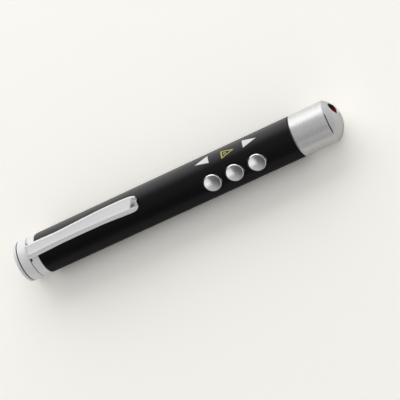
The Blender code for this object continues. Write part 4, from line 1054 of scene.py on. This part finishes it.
class BuildNose(bpy.types.Operator):
    """Turn the aluminium nose and bore its off-centre opening"""

    bl_idname = "laser_pointer.build_nose"
    bl_label = "Nose"

    def execute(self, context):
        liner = liner_radius()
        dome = [(station, radius, 0.0) for station, radius in dome_outline(NOSE_FACE_RADIUS)]
        base = dome[-1][0]
        outline = rounded(dome + [
            (base - NOSE_RIM, body_radius(), ROUND_PLAIN),
            (NOSE_REAR, body_radius(), NOSE_REAR_ROUND),
            (NOSE_REAR, liner, ROUND_PLAIN),
            (NOSE_SPIGOT_REAR, liner, ROUND_WIDE),
            (NOSE_SPIGOT_REAR, NOSE_POCKET_RADIUS, ROUND_PLAIN),
            (NOSE_POCKET_FRONT, NOSE_POCKET_RADIUS, ROUND_WIDE),
            (NOSE_POCKET_FRONT, 0.0, 0.0),
        ])
        metal = surface("blasted_aluminium")
        face_metal = surface("blasted_dome")
        nose = turned("nose_dome", outline, metal)
        bore = [(NOSE_TIP + GAP, 0.0), (NOSE_TIP + GAP, APERTURE_RADIUS),
                (APERTURE_FLOOR, APERTURE_RADIUS), (APERTURE_FLOOR, MODULE_BORE_RADIUS),
                (NOSE_SPIGOT_REAR - GAP, MODULE_BORE_RADIUS), (NOSE_SPIGOT_REAR - GAP, 0.0)]
        combine(nose, turned("bore", bore, surface("bored_aluminium"), KEY_SEGMENTS,
                             place=laser_matrix()))
        combine(nose, opening_cone(face_metal, COUNTERSINK, COUNTERSINK_SHIFT))
        combine(nose, self.line_ring(base))
        nose.data.materials.append(face_metal)
        for face in nose.data.polygons:
            plain = nose.data.materials[face.material_index] == metal
            if (plain and face.center.x > base - NOSE_RIM / 2
                    and face.normal.x > FACE_LEAST_SLOPE):
                face.material_index = len(nose.data.materials) - 1
        keep(nose, PEN, "nose_cap")
        return {'FINISHED'}

    def line_ring(self, base):
        """Ring that cuts the line at the dome's edge; it lies off centre, so the line fades. Its
        faces carry a near-black metal as painted shade in the groove.
        """
        ring = [(base, NOSE_LINE_RADIUS), (base + NOSE_LINE_WIDTH, NOSE_LINE_RADIUS),
                (base + NOSE_LINE_WIDTH, 2 * NOSE_LINE_RADIUS), (base, 2 * NOSE_LINE_RADIUS)]
        place = (Matrix.Rotation(NOSE_LINE_ANGLE, 4, 'X')
                 @ Matrix.Translation((0.0, 0.0, -NOSE_LINE_SHIFT)))
        return turned("line_ring", ring, surface("cut_aluminium"), closed=True, place=place)


class BuildAperture(bpy.types.Operator):
    """Set the black liner and the red window into the nose"""

    bl_idname = "laser_pointer.build_aperture"
    bl_label = "Laser opening"

    def execute(self, context):
        outer = APERTURE_RADIUS - GAP
        place = laser_matrix()
        plastic = surface("aperture_black")
        wide = APERTURE_RADIUS - BEZEL_GAP
        liner_outline = rounded([
            (NOSE_TIP, wide, 0.0), (BEZEL_REAR, wide, ROUND_FINE),
            (BEZEL_REAR, outer - BEZEL_WALL, ROUND_FINE), (NOSE_TIP, outer - BEZEL_WALL, 0.0),
        ], closed=True)
        liner = turned("aperture_liner", liner_outline, plastic, KEY_SEGMENTS, closed=True,
                       place=place)
        full = body_radius() - BEZEL_RECESS
        trim = dome_outline(full, BEZEL_RECESS) + [(APERTURE_FLOOR, full), (APERTURE_FLOOR, 0.0)]
        combine(liner, turned("dome_trim", trim, plastic), 'INTERSECT')
        self.glow(plastic.node_tree)
        combine(liner, opening_cone(plastic, COUNTERSINK + BEZEL_GAP, COUNTERSINK_SHIFT))
        combine(liner, opening_cone(plastic, LINER_SINK, LINER_SINK_SHIFT))
        keep(liner, PEN, "aperture_bezel")
        window_outline = rounded([
            (WINDOW_FRONT, 0.0, 0.0), (WINDOW_FRONT, outer, WINDOW_ROUND),
            (WINDOW_REAR, outer, WINDOW_ROUND), (WINDOW_REAR, 0.0, 0.0),
        ])
        window = turned("aperture_filter", window_outline, surface("red_filter"),
                        KEY_SEGMENTS, place=place)
        keep(window, PEN, "aperture_window")
        return {'FINISHED'}

    def glow(self, tree):
        """Paint the red glow of the window onto the liner, as painted light, on the side of the
        dome's middle.
        """
        out = (0.0, -math.sin(LASER_ANGLE), math.cos(LASER_ANGLE))
        span = [LASER_OFFSET + APERTURE_RADIUS * share for share in GLOW_SPAN]
        share = ramp(tree, reach(tree, object_place(tree), out), span, (1.0, 0.0))
        colour = tree.nodes["Principled BSDF"].inputs["Base Color"]
        mixed = add_node(tree, "ShaderNodeMix",
                         {0: share, 6: colour.links[0].from_socket, 7: GLOW_COLOUR},
                         data_type='RGBA')
        tree.links.new(mixed.outputs[2], colour)


class BuildKeys(bpy.types.Operator):
    """Turn the three dished keys with their retaining flanges"""

    bl_idname = "laser_pointer.build_keys"
    bl_label = "Keys"

    def execute(self, context):
        outline = self.key_outline(context.scene.pen_sizes.key_dish)
        for name in KEY_NAMES:
            self.build_key(name, outline)
        return {'FINISHED'}

    def key_outline(self, dish_depth):
        """Outline of the cap and its stem, from the dish outwards."""
        rim = KEY_RADIUS - KEY_RIM
        sphere = sphere_radius(rim, dish_depth)
        outline = []
        for step in range(DISH_STEPS + 1):
            radius = rim * step / DISH_STEPS
            climb = sphere - math.sqrt(sphere ** 2 - radius ** 2)
            outline.append((KEY_TOP - dish_depth + climb, radius))
        return outline + rounded([
            (KEY_TOP, rim, 0.0),
            (KEY_TOP, rim + KEY_RIM * KEY_RIM_FLAT, KEY_RIM_ROUND),
            (KEY_TOP - KEY_RIM * KEY_RIM_FALL, KEY_RADIUS, ROUND_TRACE),
            (KEY_SKIRT_END, KEY_RADIUS, 0.0),
            (KEY_SKIRT_END, KEY_STEM_RADIUS, ROUND_SOFT),
            (KEY_STEM_BOTTOM, KEY_STEM_RADIUS, ROUND_WIDE),
            (KEY_STEM_BOTTOM, 0.0, 0.0),
        ])[1:]

    def build_key(self, name, outline):
        """One key, its flange trimmed to the barrel's bore."""
        station = key_station(name)
        place = key_matrix(station)
        metal = surface("spun_key_" + name, "spun_key", (station, KEY_ANGLE))
        key = turned("key_cap_" + name, outline, metal, KEY_SEGMENTS, place=place)
        flange = turned("flange", rod(KEY_FLANGE_TOP, KEY_FLANGE_BOTTOM, KEY_FLANGE_RADIUS),
                        metal, KEY_SEGMENTS, place=place)
        trim = rod(station + KEY_TRIM_REACH, station - KEY_TRIM_REACH, liner_radius())
        combine(flange, turned("trim", trim, metal), 'INTERSECT')
        combine(key, flange, 'UNION')
        keep(key, "key_" + name, "button_" + name)


class BuildMarks(bpy.types.Operator):
    """Print the two arrows and the outlined triangle beside the keys"""

    bl_idname = "laser_pointer.build_marks"
    bl_label = "Printed marks"

    def execute(self, context):
        white, yellow = surface("white_print"), surface("yellow_print")
        for name, mark in (("mark_previous", MARK_PREVIOUS), ("mark_next", MARK_NEXT)):
            self.plate(name, self.round_off(self.corners(mark)), None, white)
        corners = self.corners(MARK_LASER)
        self.plate("mark_laser", self.round_off(corners),
                   self.round_off(self.inset(corners, MARK_LINE)), yellow)
        dot = self.corners((MARK_DOT,))[0]
        angles = [2 * math.pi * step / MARK_CIRCLE_STEPS for step in range(MARK_CIRCLE_STEPS)]
        circle = [Vector((math.cos(angle), math.sin(angle))) for angle in angles]
        self.plate("mark_laser_ring", [dot + MARK_RING_RADIUS * point for point in circle],
                   [dot + MARK_HOLE_RADIUS * point for point in circle], yellow)
        return {'FINISHED'}

    def corners(self, mark):
        """Corners on the unrolled barrel."""
        return [Vector((station, math.radians(angle) * body_radius()))
                for station, angle in mark]

    def inset(self, corners, distance):
        """Shape shrunk about its middle until its sides lie, on average, so far in."""
        count = len(corners)
        centre = sum(corners, Vector((0.0, 0.0))) / count
        sides = []
        for index, corner in enumerate(corners):
            along = corners[(index + 1) % count] - corner
            across = Vector((-along.y, along.x)).normalized()
            sides.append(abs((centre - corner).dot(across)))
        share = 1 - distance / (sum(sides) / count)
        return [centre + (corner - centre) * share for corner in corners]

    def round_off(self, corners):
        """Dense closed outline with small round corners."""
        points = []
        for index, here in enumerate(corners):
            ahead = corners[(index + 1) % len(corners)]
            before = (corners[index - 1] - here).normalized() * MARK_CORNER
            after = (ahead - here).normalized() * MARK_CORNER
            points += bend(here + before, here, here + after, MARK_CORNER_STEPS)
            start, end = here + after, ahead - after
            for step in range(1, MARK_SIDE_STEPS):
                points.append(start + (end - start) * step / MARK_SIDE_STEPS)
        return points

    def plate(self, name, outline, hole, material):
        """Thin plate that follows the barrel inside an outline."""
        radius = body_radius()
        count = len(outline)
        centre = sum(outline, Vector((0.0, 0.0))) / count
        inner = hole or [centre] * count
        rings = MARK_FRAME_RINGS if hole else MARK_FULL_RINGS
        layer = count * (rings + 1)
        form = bmesh.new()
        for level in (radius + MARK_THICKNESS, radius - MARK_THICKNESS):
            for ring in range(rings + 1):
                share = ring / rings
                for edge, core in zip(outline, inner):
                    point = edge + (core - edge) * share
                    angle = point.y / radius
                    form.verts.new((point.x, level * math.sin(angle), level * math.cos(angle)))
        form.verts.ensure_lookup_table()

        def steps(ring):
            """Pairs of neighbours on a ring of the upper layer."""
            return [(ring * count + step, ring * count + (step + 1) % count)
                    for step in range(count)]

        def face(*corners):
            """Face of four numbered points."""
            form.faces.new([form.verts[corner] for corner in corners])

        for ring in range(rings):
            for a, b in steps(ring):
                face(a, b, b + count, a + count)
                face(layer + a, layer + a + count, layer + b + count, layer + b)
        for ring in (0, rings) if hole else (0,):
            for a, b in steps(ring):
                face(a, b, layer + b, layer + a)
        bmesh.ops.remove_doubles(form, verts=form.verts, dist=WELD)
        bmesh.ops.recalc_face_normals(form, faces=form.faces)
        keep(settle(form, name, material), PEN)


class BuildTail(bpy.types.Operator):
    """Turn the end disc, the screw cap with its thread and the fixed collar"""

    bl_idname = "laser_pointer.build_tail"
    bl_label = "Tail"

    def execute(self, context):
        outer, liner = body_radius(), liner_radius()
        metal = surface("satin_silver_turned")
        disc = rounded([
            (PLUG_NECK_END, 0.0, 0.0), (PLUG_NECK_END, PLUG_NECK_RADIUS, ROUND_SOFT),
            (PLUG_THICKNESS - SEAM, PLUG_NECK_RADIUS, ROUND_PLAIN),
            (PLUG_THICKNESS - SEAM, outer, ROUND_TRACE),
            (0.0, outer, PLUG_FILLET), (0.0, 0.0, 0.0),
        ])
        keep(turned("tail_end_disc", disc, metal), CAP_BODY, "end_plug")
        socket = PLUG_NECK_RADIUS + GAP
        cap = rounded([
            (CAP_BORE_FLOOR, 0.0, 0.0), (CAP_BORE_FLOOR, CAP_BORE_RADIUS, ROUND_WIDE),
            (CAP_SPIGOT_END, CAP_BORE_RADIUS, ROUND_SOFT),
            (CAP_SPIGOT_END, CAP_SPIGOT_RADIUS, CAP_SPIGOT_ROUND),
            (CAP_FRONT, CAP_SPIGOT_RADIUS, ROUND_PLAIN), (CAP_FRONT, outer, ROUND_TRACE),
            (CAP_REAR + SEAM, outer, ROUND_TRACE), (CAP_REAR + SEAM, socket, ROUND_PLAIN),
            (CAP_SOCKET_FLOOR, socket, ROUND_PLAIN), (CAP_SOCKET_FLOOR, 0.0, 0.0),
        ])
        keep(turned("tail_screw_cap", cap, metal), CAP_BODY, "tail_cap")
        collar = rounded([
            (SLEEVE_SPIGOT_END, SLEEVE_BORE_RADIUS, ROUND_SOFT),
            (SLEEVE_SPIGOT_END, liner, ROUND_WIDE), (SLEEVE_FRONT, liner, ROUND_PLAIN),
            (SLEEVE_FRONT, outer, SLEEVE_ROUND), (SLEEVE_REAR, outer, ROUND_TRACE),
            (SLEEVE_REAR, SLEEVE_SEAT_RADIUS, ROUND_FINE),
            (SLEEVE_SEAT_FLOOR, SLEEVE_SEAT_RADIUS, ROUND_FINE),
            (SLEEVE_SEAT_FLOOR, SLEEVE_BORE_RADIUS, ROUND_SOFT),
        ], closed=True)
        piece = turned("tail_collar", collar, metal, closed=True)
        for half, end in ((CLIP_NECK + GAP, SLEEVE_SEAT_FLOOR),
                          (CLIP_RELIEF, SLEEVE_REAR + CLIP_RELIEF_DEPTH)):
            combine(piece, self.block((SLEEVE_REAR - OVERRUN, -half, SLOT_FOOT),
                                      (end, half, outer + OVERRUN)))
        keep(piece, PEN, "tail_sleeve")
        self.add_ring()
        thread = coiled("tail_thread", (THREAD_START, THREAD_START + THREAD_TURNS * THREAD_PITCH),
                        (CAP_SPIGOT_RADIUS, CAP_SPIGOT_RADIUS), THREAD_HEIGHT, THREAD_TURNS,
                        THREAD_POINTS, THREAD_SIDES, metal)
        keep(thread, CAP_BODY)
        return {'FINISHED'}

    def block(self, low, high):
        """Plain box used as a tool."""
        centre = [(a + b) / 2 for a, b in zip(low, high)]
        sizes = [b - a for a, b in zip(low, high)]
        form = bmesh.new()
        bmesh.ops.create_cube(form, size=1.0, matrix=Matrix.Translation(centre)
                              @ Matrix.Diagonal((*sizes, 1.0)))
        return settle(form, "block")

    def add_ring(self):
        """Spring steel ring that holds the clip inside the joint."""
        inner = RING_RADIUS - RING_WIDTH
        corners = ((RING_FRONT, inner), (RING_FRONT, RING_RADIUS), (RING_REAR, RING_RADIUS),
                   (RING_REAR, inner))
        outline = rounded([(*corner, ROUND_PLAIN) for corner in corners], closed=True)
        ring = turned("clip_ring_band", outline, surface("unplated_steel"), closed=True)
        half = CLIP_NECK + GAP
        combine(ring, self.block((RING_REAR - OVERRUN, -half, 0.0),
                                 (RING_FRONT + OVERRUN, half, body_radius())))
        keep(ring, PEN, "clip_ring")


class BuildClip(bpy.types.Operator):
    """Press the pocket clip from one sheet"""

    bl_idname = "laser_pointer.build_clip"
    bl_label = "Clip"

    def execute(self, context):
        form = bmesh.new()
        rows = []
        for index in range(CLIP_STATIONS + 1):
            points = self.section(index / CLIP_STATIONS)
            rows.append([form.verts.new(point) for point in points])
        for near, far in zip(rows, rows[1:]):
            for left in range(len(near) - 1):
                form.faces.new((near[left], far[left], far[left + 1], near[left + 1]))
        root = rows[0]
        left_top, right_top, left_low, right_low = (
            form.verts.new((CLIP_ROOT, side, height))
            for height in (root[0].co.z, CLIP_TAB_FOOT) for side in (-CLIP_NECK, CLIP_NECK))
        form.faces.new((*root, right_top, left_top))
        form.faces.new((left_top, right_top, right_low, left_low))
        bmesh.ops.recalc_face_normals(form, faces=form.faces)
        arm = settle(form, "clip_spring_arm", surface("satin_silver_drawn"))
        sheet = arm.modifiers.new("Sheet", 'SOLIDIFY')
        sheet.thickness = context.scene.pen_sizes.clip_sheet
        sheet.offset = -1.0
        sheet.use_even_offset = True
        edge = arm.modifiers.new("Edge", 'BEVEL')
        edge.width = CLIP_EDGE
        edge.segments = CLIP_EDGE_SEGMENTS
        edge.limit_method = 'ANGLE'
        edge.angle_limit = CLIP_EDGE_ANGLE
        bake(arm)
        keep(arm, CLIP_BODY, "clip_arm")
        return {'FINISHED'}

    def shares_at(self, along):
        """Smoothly joined shares of the clip's section at one place; the dish is straight."""
        table = CLIP_SECTION_SHARES
        span = 0
        while span < len(table) - 2 and along > table[span + 1][0]:
            span += 1
        first, second = table[span], table[span + 1]
        before = table[max(span - 1, 0)]
        after = table[min(span + 2, len(table) - 1)]
        width = second[0] - first[0]
        t = (along - first[0]) / width
        values = []
        for column in range(1, len(first) - 1):
            a, b = first[column], second[column]
            slope_a = (b - before[column]) / max(second[0] - before[0], WELD) * width
            slope_b = (after[column] - a) / max(after[0] - first[0], WELD) * width
            values.append(a * (2 * t ** 3 - 3 * t ** 2 + 1) + slope_a * (t ** 3 - 2 * t ** 2 + t)
                          + b * (-2 * t ** 3 + 3 * t ** 2) + slope_b * (t ** 3 - t ** 2))
        return values + [first[-1] + (second[-1] - first[-1]) * t]

    def section(self, along):
        """Points across the clip's outer skin at one place."""
        width, rise, lean, depth = self.shares_at(along)[:-1]
        station = CLIP_ROOT + CLIP_LENGTH * along
        half = CLIP_WIDTH / 2 * width
        top = body_radius() + CLIP_RISE * rise
        foot = Vector((half + CLIP_LEAN * lean, top - CLIP_FLANGE * depth))
        corner = Vector((half, top))
        down = (foot - corner).normalized()
        fold = min(CLIP_FOLD_RADIUS, (foot - corner).length * CLIP_FOLD_MOST)
        low = corner + down * fold
        high = corner + Vector((-fold, 0.0))
        side = [foot + (low - foot) * step / CLIP_FLANGE_STEPS
                for step in range(CLIP_FLANGE_STEPS)] + bend(low, corner, high, CLIP_FOLD_STEPS)
        flat = high.x
        middle = []
        for step in range(1, CLIP_ACROSS_STEPS):
            across = 2 * step / CLIP_ACROSS_STEPS - 1
            dish = self.dish_at(along, across)
            inwards = flat * (1 - abs(across))
            crown = -CLIP_LIP * min(1.0, inwards / CLIP_LIP_WIDTH)
            flank = min(1.0, inwards / (flat * CLIP_DISH_FLANKS[across > 0]))
            hollow = CLIP_DISH * dish * (0.5 - 0.5 * math.cos(math.pi * flank))
            middle.append((station, flat * across, top + crown * (1 - dish) - hollow))
        right = [(station, point.x, point.y) for point in side]
        left = [(station, -point.x, point.y) for point in side]
        return left + middle + right[::-1]

    def dish_at(self, along, across):
        """Share of the pit's depth; its fold starts earlier on the clip's near edge."""
        slanted = along + CLIP_DISH_SLANT * (1 - across) / 2 - CLIP_DISH_DELAY
        return self.shares_at(min(1.0, slanted))[-1]


class BuildSprings(bpy.types.Operator):
    """Wind the cell's spring and the lens spring"""

    bl_idname = "laser_pointer.build_springs"
    bl_label = "Springs"

    def execute(self, context):
        self.wind("battery_coil", BATTERY_SPRING, Matrix(), CARRIAGE, "battery_spring")
        self.wind("lens_coil", LENS_SPRING, laser_matrix(), PEN, "lens_spring")
        return {'FINISHED'}

    def wind(self, name, spring, place, body, node):
        """One compression spring in place of its node."""
        rear, front, rear_radius, front_radius, wire, turns = spring
        piece = coiled(name, (rear + wire, front - wire), (rear_radius, front_radius), wire,
                       turns, SPRING_POINTS, SPRING_SIDES, surface("spring_wire"))
        piece.data.transform(place)
        keep(piece, body, node)


class DressInnerPieces(bpy.types.Operator):
    """Give the kept inner nodes their finishes"""

    bl_idname = "laser_pointer.dress_inner_pieces"
    bl_label = "Inner pieces"

    def execute(self, context):
        for finish, names in INNER_FINISHES.items():
            for name in names:
                materials = NODES[name].data.materials
                materials.clear()
                materials.append(surface(finish))
        return {'FINISHED'}


OPERATORS = (BuildStage, BuildBarrel, BuildNose, BuildAperture, BuildKeys, BuildMarks,
             BuildTail, BuildClip, BuildSprings, DressInnerPieces)
GROUPS = {"pen_sizes": PenSizes, "pen_colours": PenColours, "stage_settings": StageSettings}


class LaserPointerPanel(bpy.types.Panel):
    """Lists the pen's operators and settings in the sidebar"""

    bl_idname = "VIEW3D_PT_laser_pointer"
    bl_label = "Laser Pointer"
    bl_space_type = 'VIEW_3D'
    bl_region_type = 'UI'
    bl_category = "Laser Pointer"

    def draw(self, context):
        for label in GROUPS:
            group = getattr(context.scene, label)
            for name in group.bl_rna.properties.keys():
                if name not in ("rna_type", "name"):
                    self.layout.prop(group, name)
        for operator in OPERATORS:
            self.layout.operator(operator.bl_idname)


CLASSES = (*GROUPS.values(), *OPERATORS, LaserPointerPanel)


def register():
    """Register the settings, the operators and the panel."""
    for item in CLASSES:
        bpy.utils.register_class(item)
    for label, group in GROUPS.items():
        setattr(bpy.types.Scene, label, bpy.props.PointerProperty(type=group))


def unregister():
    """Take away what register added."""
    for label in reversed(GROUPS):
        delattr(bpy.types.Scene, label)
    for item in reversed(CLASSES):
        bpy.utils.unregister_class(item)


def main():
    """Build the whole pen."""
    register()
    for operator in OPERATORS:
        group, name = operator.bl_idname.split(".")
        getattr(getattr(bpy.ops, group), name)()


if __name__ == "__main__":
    main()
